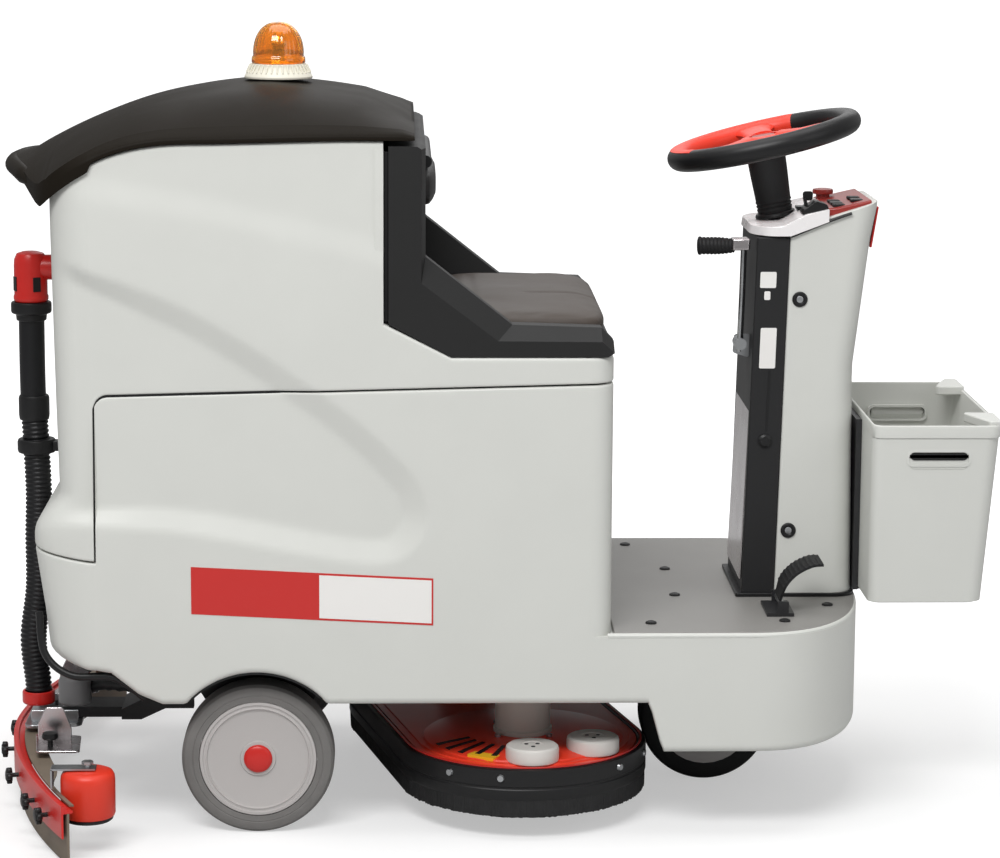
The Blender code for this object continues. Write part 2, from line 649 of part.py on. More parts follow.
def turned_open(outer, inner, centre, sides=20):
    """A turned cup: outer wall up to its pole, then the inner wall back down."""
    shape = bmesh.new()
    rings = []
    for radius, height in outer + inner:
        if radius == 0:
            rings.append([shape.verts.new((centre[0], centre[1], height))])
            continue
        turns = [2 * math.pi * k / sides for k in range(sides)]
        rings.append([shape.verts.new((centre[0] + radius * math.cos(t), centre[1] + radius * math.sin(t),
                                       height)) for t in turns])
    for lower, upper in zip(rings, rings[1:] + rings[:1]):
        if len(lower) == len(upper) == 1:
            continue
        for k in range(sides):
            after = (k + 1) % sides
            corners = [lower[k % len(lower)], lower[after % len(lower)], upper[after % len(upper)],
                       upper[k % len(upper)]]
            shape.faces.new(list(dict.fromkeys(corners)))
    bmesh.ops.recalc_face_normals(shape, faces=shape.faces)
    return shape


def lower_shaft_x():
    return WHEEL_CENTRE.x + (WHEEL_CENTRE.z - JOINT_HEIGHT) * math.tan(STEER_TILT)


# ================================================================ seat, batteries, vacuum
def seat():
    half = BODY_WIDTH / 2 - 0.001
    rear = TANK_FRONT + GAP
    front = SEAT_BASE_FRONT
    low = SEAT_LINE + GAP
    back_front = rear + BACK_THICK
    outline = [
        (rear, SEAT_LINE + RAMP_RISE + GAP), (SEAT_RAMP, low), (front, low), (front, SEAT_TOP - 0.020),
        (front - 0.012, SEAT_TOP - 0.011), (0.020, SEAT_TOP - 0.008), (back_front, BOLSTER_REAR - 0.020),
        (back_front, BACK_TOP), (rear, BACK_TOP),
    ]
    pan = box((CUSHION_REAR - GAP, -CUSHION_HALF - GAP, CUSHION_SEAT), (front + 0.01, CUSHION_HALF + GAP,
                                        1.2))
    pad_rear = back_front - PAD_RECESS
    recess = box((pad_rear - GAP, -PAD_HALF - GAP, PAD_LOW - GAP), (back_front + 0.05, PAD_HALF + GAP,
                                        PAD_HIGH + GAP))
    corners = prism(upper_plan(front, 0.001), "Z", 0.6, 1.2)
    node("seat_shell", combined(prism(outline, "Y", -half, half), keep=[corners], cut=[pan, recess]),
         "charcoal")
    cushion = box((CUSHION_REAR, -CUSHION_HALF + 0.001, CUSHION_SEAT + GAP), (front - 0.002,
                                        CUSHION_HALF - 0.001, SEAT_TOP), 0.010)
    node("seat_cushion", cushion, "seat_grey")
    pad = box((pad_rear, -PAD_HALF, PAD_LOW), (pad_rear + 0.040, PAD_HALF, PAD_HIGH), 0.010)
    node("backrest_pad", pad, "seat_grey")


def power_pack():
    tray = RAIL_TOP + 0.005 + GAP
    length, width, height = 0.280, 0.180, 0.275
    for name, side in (("battery_right", -1), ("battery_left", 1)):
        centre_y = side * (width / 2 + 0.004)
        low = (-0.150, centre_y - width / 2, tray)
        high = (-0.150 + length, centre_y + width / 2, tray + height)
        posts = [rod((low[0] + 0.035 + k * (length - 0.070), centre_y, high[2] - 0.001),
                     (low[0] + 0.035 + k * (length - 0.070), centre_y,
                      high[2] + 0.014), 0.009, 12) for k in (0, 1)]
        node(name, combined(box(low, high, 0.006, 1), add=posts), "battery")
    fan = turned([(0, tray), (0.070, tray), (0.070, tray + 0.060), (0.078, tray + 0.062),
                  (0.078, tray + 0.100),
                  (0.050, tray + 0.104), (0.050, tray + 0.150), (0.024, tray + 0.154), (0.024,
                                        tray + 0.190),
                  (0, tray + 0.190)], (-0.310, 0, 0), segments=24)
    node("vacuum_motor", fan, "motor")


# ================================================================ wheels
def rear_wheels():
    centre_z = REAR_WHEEL_RADIUS
    reach = REAR_TRACK_OUTER - 0.014
    axle = rod((REAR_AXLE_X, -reach, centre_z), (REAR_AXLE_X, reach, centre_z), AXLE_RADIUS)
    node("rear_axle", axle, "steel")
    for side, word in ((-1, "right"), (1, "left")):
        outer = REAR_TRACK_OUTER
        inner = outer - REAR_TYRE_WIDTH
        tread, rim, edge = REAR_WHEEL_RADIUS, REAR_RIM_RADIUS, 0.008
        centre = (REAR_AXLE_X, 0, centre_z)
        axis = (0, side, 0)
        tyre = turned([(rim, inner), (tread - edge, inner), (tread, inner + edge), (tread, outer - edge),
                       (tread - edge, outer), (rim, outer)], centre, axis, WHEEL_SEGMENTS)
        node(f"rear_tyre_{word}", tyre, "tyre", centre)
        bore = AXLE_RADIUS + GAP
        disc = rim - GAP
        hub = turned([(bore, inner - 0.010), (0.028, inner - 0.010), (0.028, inner + 0.006),
                      (disc, inner + 0.006),
                      (disc, outer - 0.002), (disc - 0.010, outer - 0.002), (disc - 0.016, outer - 0.010),
                      (0.024, outer - 0.010), (0.022, outer - 0.002), (0, outer - 0.002), (0, reach + RUN),
                      (bore, reach + RUN)], centre, axis, WHEEL_SEGMENTS)
        node(f"rear_hub_{word}", hub, "hub_grey", centre)


def drive_unit():
    centre = (DRIVE_X, 0, DRIVE_RADIUS)
    half, edge = DRIVE_WIDTH / 2, 0.010
    rim, tread = DRIVE_RIM_RADIUS, DRIVE_RADIUS
    tyre = turned([(rim, -half), (tread - edge, -half), (tread, edge - half), (tread, half - edge),
                   (tread - edge, half), (rim, half)], centre, (0, 1, 0), WHEEL_SEGMENTS)
    node("drive_tyre", tyre, "tyre", centre)
    leg_inner = half + 0.006
    stub = leg_inner + FORK_LEG
    hub = turned([(0, -stub), (0.012, -stub), (0.012, -half), (rim - GAP, -half), (rim - GAP, half),
                  (0.012, half),
                  (0.012, stub), (0, stub)], centre, (0, 1, 0), WHEEL_SEGMENTS)
    node("drive_hub", hub, "paint", centre)
    crown = RAIL_TOP - 0.001 - RUN
    crown_low = crown - 0.014
    legs = []
    for s in (-1, 1):
        leg = [(DRIVE_X - 0.030, DRIVE_RADIUS - 0.020), (DRIVE_X + 0.030, DRIVE_RADIUS - 0.020),
               (DRIVE_X + 0.036, crown), (DRIVE_X - 0.036, crown)]
        low, high = sorted((s * leg_inner, s * stub))
        legs.append(prism(leg, "Y", low, high))
    top = box((DRIVE_X - 0.036, -stub, crown_low), (DRIVE_X + 0.036, stub, crown))
    sprocket_low = RAIL_TOP + PLATE + 0.003
    stem = turned([(0, crown - 0.002), (STEM_RADIUS, crown - 0.002), (STEM_RADIUS, sprocket_low),
                   (SPROCKET_FORK, sprocket_low),
                   (SPROCKET_FORK, sprocket_low + 0.008), (0.016, sprocket_low + 0.008), (0.016,
                                        sprocket_low + 0.014),
                   (0, sprocket_low + 0.014)], (DRIVE_X, 0, 0))
    axle = rod((DRIVE_X, -0.1, DRIVE_RADIUS), (DRIVE_X, 0.1, DRIVE_RADIUS), 0.0125)
    fork = combined(top, add=legs + [stem], cut=[axle])
    node("drive_fork", fork, "paint", (DRIVE_X, 0, RAIL_TOP))


def steering():
    lower_x = lower_shaft_x()
    sprocket_low = RAIL_TOP + PLATE + 0.003
    foot = RAIL_TOP - 0.004
    joint = JOINT_HEIGHT
    lower = turned([(0, foot), (SHAFT_RADIUS, foot), (SHAFT_RADIUS, sprocket_low), (SPROCKET_SHAFT,
                                        sprocket_low),
                    (SPROCKET_SHAFT, sprocket_low + 0.008), (SHAFT_RADIUS, sprocket_low + 0.008),
                    (SHAFT_RADIUS, joint - 0.030), (0.014, joint - 0.026), (0.014, joint - 0.002), (0,
                                        joint - 0.002)],
                   (lower_x, 0, 0), segments=20)
    node("steering_shaft_lower", lower, "steel", (lower_x, 0, joint))
    slack = 0.0005
    big, small = SPROCKET_FORK + slack, SPROCKET_SHAFT + slack

    def loop(extra):
        lean = math.degrees(math.acos((big - small) / (lower_x - DRIVE_X)))
        points = arc((DRIVE_X, 0), big + extra, lean, 360 - lean, 20)
        return points + arc((lower_x, 0), small + extra, 360 - lean, 360 + lean, 12)

    band_low = sprocket_low + 0.001
    chain = combined(prism(loop(CHAIN_THICK), "Z", band_low, band_low + 0.006),
                     cut=[prism(loop(0.0), "Z", band_low - 0.01, band_low + 0.02)])
    node("steering_chain", chain, "steel")

    lean = Vector((-math.sin(STEER_TILT), 0, math.cos(STEER_TILT)))
    reach = (WHEEL_CENTRE.z - joint) / math.cos(STEER_TILT)
    start = Vector((lower_x, 0, joint))
    shaft_top = reach - 0.0165
    upper = turned([(0, 0.002), (0.014, 0.002), (0.014, 0.026), (SHAFT_RADIUS, 0.030), (SHAFT_RADIUS,
                                        shaft_top), (0, shaft_top)],
                   start, lean, 20)
    node("steering_shaft_upper", upper, "steel", WHEEL_CENTRE)
    boot_low = (COLUMN_TOP + DASH_THICK + 0.004 - joint) / math.cos(STEER_TILT)
    boot_high = (BOOT_TOP - joint) / math.cos(STEER_TILT)
    bore = SHAFT_RADIUS + 0.0005
    boot = turned([(bore, boot_low), (BOOT_RADIUS, boot_low), (BOOT_RADIUS, boot_high - 0.004),
                   (BOOT_RADIUS - 0.004, boot_high),
                   (bore, boot_high)], start, lean, 24)
    node("steering_boot", boot, "black")
    ring = bmesh.new()
    around, section = 36, 8
    grid = []
    for i in range(around):
        turn = 2 * math.pi * i / around
        row = []
        for j in range(section):
            roll = 2 * math.pi * j / section
            r = STEER_RING_RADIUS + STEER_TUBE_RADIUS * math.cos(roll)
            row.append(ring.verts.new((r * math.cos(turn), r * math.sin(turn),
                                       STEER_TUBE_RADIUS * math.sin(roll))))
        grid.append(row)
    for i in range(around):
        for j in range(section):
            a, b = grid[i], grid[(i + 1) % around]
            ring.faces.new((a[j], b[j], b[(j + 1) % section], a[(j + 1) % section]))
    bmesh.ops.recalc_face_normals(ring, faces=ring.faces)
    tilt = Matrix.Translation(WHEEL_CENTRE) @ Matrix.Rotation(-STEER_TILT, 4, "Y")
    ring.transform(tilt)
    node("steering_rim", ring, "black", WHEEL_CENTRE)
    inner = (STEER_RING_RADIUS - STEER_TUBE_RADIUS) * math.cos(math.pi / around) - GAP
    band = turned([(inner - 0.012, -0.004), (inner, -0.004), (inner, 0.004), (inner - 0.012, 0.004)],
                  segments=around)
    spokes = []
    for angle in (90, 210, 330):
        spoke = box((0.020, -0.016, -0.0045), (inner - 0.004, 0.016, 0.0035))
        spoke.transform(Matrix.Rotation(math.radians(angle), 4, "Z"))
        spokes.append(spoke)
    hub = turned([(0, -0.016), (0.022, -0.016), (0.036, -0.010), (0.036, 0.006), (0, 0.006)], segments=24)
    well = turned([(0, -0.002), (HORN_RADIUS + 0.0005, -0.002), (HORN_RADIUS + 0.0005, 0.02), (0, 0.02)],
                  segments=24)
    spider = combined(hub, add=spokes + [band], cut=[well])
    spider.transform(tilt)
    node("steering_spider", spider, "red", WHEEL_CENTRE)
    horn = turned([(0, 0.0015), (HORN_RADIUS, 0.0015), (HORN_RADIUS, 0.008), (HORN_RADIUS - 0.003, 0.010),
                   (0, 0.011)], segments=20)
    horn.transform(tilt)
    node("horn_button", horn, "black", WHEEL_CENTRE)


# ================================================================ column, controls, platform
def column_rear(z):
    return COLUMN_REAR + COLUMN_LEAN * (z - PLATE_TOP) / (COLUMN_TOP - PLATE_TOP)


def column():
    low = PLATE_TOP + GAP
    top = COLUMN_TOP
    split_low, split_top = column_rear(low) + COVER_DEPTH, column_rear(top) + COVER_DEPTH
    half = COLUMN_HALF
    nose = [(COLUMN_FRONT, low), (COLUMN_WAIST, COLUMN_WAIST_Z), (0.554, 0.850), (0.5635, 0.899),
            (0.545, 0.8965),
            (split_top, top + 0.012)]
    body_outline = [(split_low + GAP, low)] + nose[:-1] + [(split_top + GAP, top + 0.012), (split_top + GAP,
                                        top)]
    hollow = [(split_low - 0.02, low - 0.01)] + inset(
        [(split_low, low)] + nose, COLUMN_WALL)[1:4] + [(0.545, 0.8965 - 0.012), (split_top - 0.02,
                                        top - 0.001)]
    shape = prism(body_outline, "Y", -half, half)
    soften(shape, 0.022, 3,
           lambda e: all(v.co.x > 0.50 for v in e.verts) and abs(e.verts[0].co.y - e.verts[1].co.y) < 1e-6
           and abs(e.verts[0].co.z - e.verts[1].co.z) > 0.03)
    start = Vector((lower_shaft_x(), 0, JOINT_HEIGHT))
    lean = Vector((-math.sin(STEER_TILT), 0, math.cos(STEER_TILT)))
    shaft = rod(start, start + lean * 0.4, SHAFT_RADIUS + 0.002)
    body = combined(shape, cut=[prism(hollow, "Y", -half + COLUMN_WALL, half - COLUMN_WALL), shaft])
    node("column_body", body, "shell_grey")
    cover = prism([(column_rear(low), low), (split_low, low), (split_top, top), (column_rear(top), top)],
                  "Y", -half, half)
    soften(cover, 0.010, 2,
           lambda e: all(v.co.x < 0.40 for v in e.verts) and abs(e.verts[0].co.z - e.verts[1].co.z) > 0.1)
    inside = prism([(column_rear(low) + COLUMN_WALL, low - 0.01), (split_low + 0.01, low - 0.01),
                    (split_top + 0.01, top - COLUMN_WALL), (column_rear(top) + COLUMN_WALL,
                                        top - COLUMN_WALL)],
                   "Y", -half + COLUMN_WALL, half - COLUMN_WALL)
    ears = []
    for s in (-1, 1):
        y = LEVER_Y + s * 0.010
        ears.append(box((LEVER_X - 0.009, y - 0.0025, LEVER_Z - 0.009), (column_rear(LEVER_Z) + 0.003,
                                        y + 0.0025, LEVER_Z + 0.009)))
    pin = rod((LEVER_X, LEVER_Y - 0.02, LEVER_Z), (LEVER_X, LEVER_Y + 0.02, LEVER_Z), 0.004 + GAP, 12)
    shaft = rod(start, start + lean * 0.4, SHAFT_RADIUS + 0.002)
    node("column_cover", combined(cover, add=ears, cut=[inside, pin, shaft]), "charcoal")

    dash_low = [(column_rear(top) - 0.014, top + GAP), (split_top, top + GAP), (split_top + GAP,
                                        top + 0.012 + GAP),
                (0.545, 0.8968), (0.563, 0.8995)]
    dash_high = [(0.570, 0.908), (0.486, 0.894), (0.452, 0.886), (0.421, top + DASH_THICK),
                 (column_rear(top) - 0.014, top + DASH_THICK - 0.003)]
    dash = prism(dash_low + dash_high, "Y", -half - 0.006, half + 0.006)
    boot = rod(start, start + lean * 0.4, BOOT_RADIUS + GAP, 24)
    wells = [switch_shape("well", *spot) for spot in SWITCHES]
    node("dashboard", combined(dash, cut=[boot] + wells), "silver")
    for spot in SWITCHES:
        origin = switch_frame(*spot[:3]).translation
        node(spot[0], switch_shape("body", *spot), "red" if spot[0] == "emergency_button" else "black",
             origin)


def dash_height(x):
    """Height of the sloping dashboard top."""
    if x < 0.486:
        return 0.886 + (x - 0.452) * (0.894 - 0.886) / (0.486 - 0.452)
    return 0.894 + (x - 0.486) * (0.908 - 0.894) / (0.570 - 0.486)


def switch_frame(name, x, y):
    slope = math.atan2(0.014, 0.084) if x > 0.486 else math.atan2(0.008, 0.034)
    return Matrix.Translation((x, y, dash_height(x))) @ Matrix.Rotation(-slope, 4, "Y")


def switch_shape(kind, name, x, y, radius):
    """A control or the well that it sits in, on the dashboard's slope."""
    if kind == "well":
        shape = turned([(0, -0.007), (radius + 0.0006, -0.007), (radius + 0.0006, 0.02), (0, 0.02)],
                       segments=24)
        if name == "rocker_switch":
            shape.free()
            shape = box((-radius - 0.0026, -0.0126, -0.007), (radius + 0.0026, 0.0126, 0.02))
    elif name == "key_switch":
        shape = turned([(0, -0.0065), (radius, -0.0065), (radius, 0.004), (0, 0.004)], segments=20)
        blade = box((-0.002, -0.006, 0.003), (0.002, 0.006, 0.020))
        shape = combined(shape, add=[blade])
    elif name == "rocker_switch":
        shape = prism([(-radius, 0.000), (-0.004, -0.005), (0.004, -0.005), (radius, 0.000),
                       (radius, 0.005), (0, 0.0025),
                       (-radius, 0.005)], "Y", -0.012, 0.012)
    else:
        shape = turned([(0, -0.0025), (radius, -0.0025), (radius, 0.006), (radius + 0.004, 0.008),
                        (radius + 0.004, 0.014), (radius - 0.002, 0.017), (0, 0.018)], segments=24)
    shape.transform(switch_frame(name, x, y))
    return shape


def lift_lever():
    pivot = (LEVER_X, LEVER_Y, LEVER_Z)
    path = [(LEVER_X, LEVER_Y, LEVER_Z - 0.006), (LEVER_X, LEVER_Y, LEVER_Z + 0.05), (LEVER_X + 0.002,
                                        LEVER_Y, GRIP_Z - 0.022)]
    path += [(LEVER_X + 0.002 - 0.018 + 0.018 * math.cos(t), LEVER_Y, GRIP_Z - 0.018 + 0.018 * math.sin(t))
             for t in [math.radians(a) for a in (15, 40, 65)]]
    path += [(LEVER_X - 0.017, LEVER_Y, GRIP_Z), (LEVER_X - 0.055, LEVER_Y, GRIP_Z)]
    bar = swept(path, 0.005)
    pin = rod((LEVER_X, LEVER_Y - 0.0135, LEVER_Z), (LEVER_X, LEVER_Y + 0.0135, LEVER_Z), 0.004, 12)
    node("lift_lever", combined(bar, add=[pin]), "steel", pivot)
    tip = LEVER_X - 0.066
    grip = turned([(0.0053, 0), (0.012, 0), (0.013, 0.006), (0.011, 0.020), (0.012, 0.038), (0.013, 0.044),
                   (0.009, 0.050), (0, 0.050),
                   (0, 0.040), (0.0053, 0.040)], (tip + 0.050, LEVER_Y, GRIP_Z), (-1, 0, 0), 16)
    node("lever_grip", grip, "black", pivot)


def platform():
    plan = prism(body_plan(0.004), "Z", FOOTWELL_FLOOR + GAP, PLATE_TOP)
    rear = box((-2, -1, 0), (SEAT_BASE_FRONT + 0.003, 1, 1))
    shaft = rod((lower_shaft_x(), 0, 0.28), (lower_shaft_x(), 0, 0.32), SHAFT_RADIUS + 0.002)
    node("platform_plate", combined(plan, cut=[rear, shaft]), "plate_grey")
    foot = box((PEDAL_X - 0.024, PEDAL_Y - PEDAL_HALF - 0.008, PLATE_TOP + GAP), (PEDAL_X + 0.016,
                                        PEDAL_Y + PEDAL_HALF + 0.008, PLATE_TOP + 0.005))
    ears = [box((PEDAL_X - 0.008, PEDAL_Y + s * (PEDAL_HALF + 0.005) - 0.003, PLATE_TOP + 0.003),
                (PEDAL_X + 0.008, PEDAL_Y + s * (PEDAL_HALF + 0.005) + 0.003,
                 PEDAL_Z + 0.008)) for s in (-1, 1)]
    pin = rod((PEDAL_X, PEDAL_Y - PEDAL_HALF - 0.006, PEDAL_Z), (PEDAL_X, PEDAL_Y + PEDAL_HALF + 0.006,
                                        PEDAL_Z), 0.004, 12)
    node("pedal_bracket", combined(foot, add=ears + [pin]), "steel")
    thick = 0.006
    curve = [(PEDAL_X - 0.004, PEDAL_Z + 0.006), (PEDAL_X + 0.004, PEDAL_Z + 0.030), (PEDAL_X + 0.020,
                                        PEDAL_Z + 0.048),
             (PEDAL_X + 0.042, PEDAL_Z + 0.060), (PEDAL_X + 0.060, PEDAL_Z + 0.062)]
    back = [(x + thick * 0.8, z - thick * 0.7) for x, z in reversed(curve)]
    blade = prism(curve + back, "Y", PEDAL_Y - PEDAL_HALF, PEDAL_Y + PEDAL_HALF)
    barrel = rod((PEDAL_X, PEDAL_Y - PEDAL_HALF, PEDAL_Z), (PEDAL_X, PEDAL_Y + PEDAL_HALF, PEDAL_Z), 0.0085)
    bore = rod((PEDAL_X, PEDAL_Y - 0.1, PEDAL_Z), (PEDAL_X, PEDAL_Y + 0.1, PEDAL_Z), 0.004 + GAP, 12)
    node("accelerator_pedal", combined(barrel, add=[blade], cut=[bore]), "black", (PEDAL_X, PEDAL_Y,
                                        PEDAL_Z))


def litter_bin():
    half, wall = BIN_HALF, BIN_WALL
    plate_rear = COLUMN_FRONT + GAP
    plate_front = BIN_REAR - GAP
    shelf = box((plate_rear, -0.085, BIN_BOTTOM - 0.008), (BIN_REAR + 0.060, 0.085, BIN_BOTTOM - GAP))
    plate = box((plate_rear, -0.090, BIN_BOTTOM - 0.008), (plate_front, 0.090, BIN_TOP - 0.010))
    node("bin_bracket", combined(plate, add=[shelf]), "black")
    outer = [(BIN_REAR, BIN_BOTTOM), (BIN_FRONT - BIN_TAPER, BIN_BOTTOM), (BIN_FRONT, BIN_TOP),
             (BIN_REAR, BIN_TOP)]
    inner = [(BIN_REAR + wall, BIN_BOTTOM + wall), (BIN_FRONT - BIN_TAPER - wall, BIN_BOTTOM + wall),
             (BIN_FRONT - wall + 0.0004, BIN_TOP + 0.01), (BIN_REAR + wall, BIN_TOP + 0.01)]
    tapered = prism([(-half + 0.010, BIN_BOTTOM), (half - 0.010, BIN_BOTTOM), (half, BIN_TOP),
                     (-half, BIN_TOP)], "X", BIN_REAR - 0.01, BIN_FRONT + 0.01)
    hollow_cross = prism([(-half + 0.010 + wall, BIN_BOTTOM + wall), (half - 0.010 - wall,
                                        BIN_BOTTOM + wall),
                          (half - wall + 0.0004, BIN_TOP + 0.01), (-half + wall - 0.0004,
                                        BIN_TOP + 0.01)], "X", BIN_REAR - 0.01, BIN_FRONT + 0.01)
    hollow = combined(prism(inner, "Y", -half, half), keep=[hollow_cross])
    middle = BIN_REAR + 0.098
    slots = [box((middle - 0.045, s * half - 0.03, BIN_TOP - 0.058), (middle + 0.045, s * half + 0.03,
                                        BIN_TOP - 0.040)) for s in (-1, 1)]
    hook = box((plate_rear, -0.090, BIN_TOP - 0.010 + GAP), (BIN_REAR + wall, 0.090, BIN_TOP - 0.003))
    shape = combined(prism(outer, "Y", -half - 0.01, half + 0.01), keep=[tapered], cut=[hollow] + slots)
    node("litter_bin", combined(shape, add=[hook]), "shell_grey")


# ================================================================ brush deck
def deck_outline(radius, steps=12):
    """Two circles about the brush centres, wrapped by their common tangents."""
    near, far = Vector(NEAR_BRUSH), Vector(FAR_BRUSH)
    heading = math.degrees(math.atan2(far.y - near.y, far.x - near.x))
    points = arc(far, radius, heading - 90, heading + 90, steps)
    return points + arc(near, radius, heading + 90, heading + 270, steps)


def brush_deck():
    inner = BRUSH_RADIUS + SKIRT_GAP
    plate_low = DECK_TOP - 0.014
    plate = prism(deck_outline(inner - GAP), "Z", plate_low, DECK_TOP)
    domes = [turned([(0, DECK_TOP - 0.002), (0.085, DECK_TOP - 0.002), (0.070, DECK_TOP + 0.010),
                     (0, DECK_TOP + 0.010)],
                    (x, y, 0), segments=24) for x, y in (NEAR_BRUSH, FAR_BRUSH)]
    middle = ((NEAR_BRUSH[0] + FAR_BRUSH[0]) / 2, 0.0)
    ears = [box((middle[0] - 0.028, s * 0.030 - 0.004, DECK_TOP - 0.002), (middle[0] + 0.030,
                                        s * 0.030 + 0.004, ARM_TIP_Z + 0.016)) for s in (-1, 1)]
    slot = box((middle[0] - 0.022, -0.05, ARM_TIP_Z - SLOT_HALF), (middle[0] + 0.022, 0.05,
                                        ARM_TIP_Z + SLOT_HALF))
    spindles = []
    for word, angle in ROLLER_SPOTS:
        x, y = roller_spot(angle)
        spindles.append(rod((x, y, DECK_TOP - 0.002), (x, y, DECK_TOP + 0.022), 0.006, 12))
    shafts = [rod((x, y, 0), (x, y, 0.3), 0.0125 + GAP) for x, y in (NEAR_BRUSH, FAR_BRUSH)]
    node("deck_cover", combined(plate, add=domes + ears + spindles, cut=[slot] + shafts), "red")
    outer = prism(deck_outline(inner + SKIRT_WALL), "Z", DECK_BOTTOM + 0.004, DECK_TOP + 0.001)
    skirt = combined(outer, cut=[prism(deck_outline(inner), "Z", 0, 0.2)])
    node("deck_skirt", skirt, "black")
    for word, angle in ROLLER_SPOTS:
        x, y = roller_spot(angle)
        low = DECK_TOP + RUN
        cap = turned([(0.0065, low), (ROLLER_RADIUS, low), (ROLLER_RADIUS, low + 0.020),
                      (ROLLER_RADIUS - 0.003, low + 0.024),
                      (0, low + 0.024), (0, low + 0.0215), (0.0065, low + 0.0215)], (x, y, 0), segments=28)
        node(f"deck_roller_{word}", cap, "cream", (x, y, low))
    for name, (x, y) in (("right", NEAR_BRUSH), ("left", FAR_BRUSH)):
        seat = DECK_TOP + 0.010 + GAP
        motor = turned([(0, 0.062), (0.0125, 0.062), (0.0125, seat), (MOTOR_RADIUS, seat), (MOTOR_RADIUS,
                                        seat + 0.030),
                        (MOTOR_RADIUS - 0.006, seat + 0.034), (MOTOR_RADIUS - 0.006,
                                        seat + MOTOR_HEIGHT - 0.006),
                        (0.010, seat + MOTOR_HEIGHT), (0, seat + MOTOR_HEIGHT)], (x, y, 0), segments=24)
        node(f"brush_motor_{name}", motor, "motor")
        low, face = DECK_BOTTOM - 0.002, DECK_BOTTOM + 0.038
        back = BRUSH_RADIUS - 0.008
        bore = 0.0125 + 0.0005
        brush = turned([(0.070, low), (BRUSH_RADIUS, low), (back, face), (back, face + 0.012),
                        (0.040, face + 0.012), (0.036, plate_low - 0.003), (bore, plate_low - 0.003), (bore,
                                        face),
                        (0.078, face)], (x, y, 0), segments=28)
        node(f"brush_{name}", brush, "black", (x, y, low))
    deck_arm(middle[0])


def roller_spot(angle):
    turn = math.radians(angle)
    reach = BRUSH_RADIUS - 0.034
    return NEAR_BRUSH[0] + reach * math.cos(turn), NEAR_BRUSH[1] + reach * math.sin(turn)


def deck_arm(tip_x):
    """Lift link: a cross tube in the chassis with one arm down to the slotted ears of the deck."""
    tube = rod((ARM_PIVOT_X, -0.069, ARM_PIVOT_Z), (ARM_PIVOT_X, 0.069, ARM_PIVOT_Z), 0.010)
    ends = rod((ARM_PIVOT_X, -0.100, ARM_PIVOT_Z), (ARM_PIVOT_X, 0.100, ARM_PIVOT_Z), 0.006)
    along = Vector((tip_x - ARM_PIVOT_X, ARM_TIP_Z - ARM_PIVOT_Z))
    across = Vector((-along.y, along.x)).normalized() * 0.009
    start, end = Vector((ARM_PIVOT_X, ARM_PIVOT_Z)), Vector((tip_x, ARM_TIP_Z)) + along.normalized() * 0.009
    blade = prism([tuple(start + across), tuple(end + across), tuple(end - across), tuple(start - across)],
                  "Y", -0.022, 0.022)
    tip = rod((tip_x, -0.040, ARM_TIP_Z), (tip_x, 0.040, ARM_TIP_Z), 0.006)
    node("deck_lift_arm", combined(tube, add=[ends, blade, tip]), "paint", (ARM_PIVOT_X, 0, ARM_PIVOT_Z))


# ================================================================ squeegee
def bar_x(y):
    """Rear face of the curved bar at a distance y from the middle."""
    return BAR_REAR + BAR_SWEEP * (abs(y) / BAR_HALF) ** 1.8


def curved_strip(low, high, ahead, thick, half, steps=20):
    ys = [-half + 2 * half * k / steps for k in range(steps + 1)]
    rear = [(bar_x(y) + ahead, y) for y in ys]
    front = [(bar_x(y) + ahead + thick, y) for y in reversed(ys)]
    return prism(rear + front, "Z", low, high)


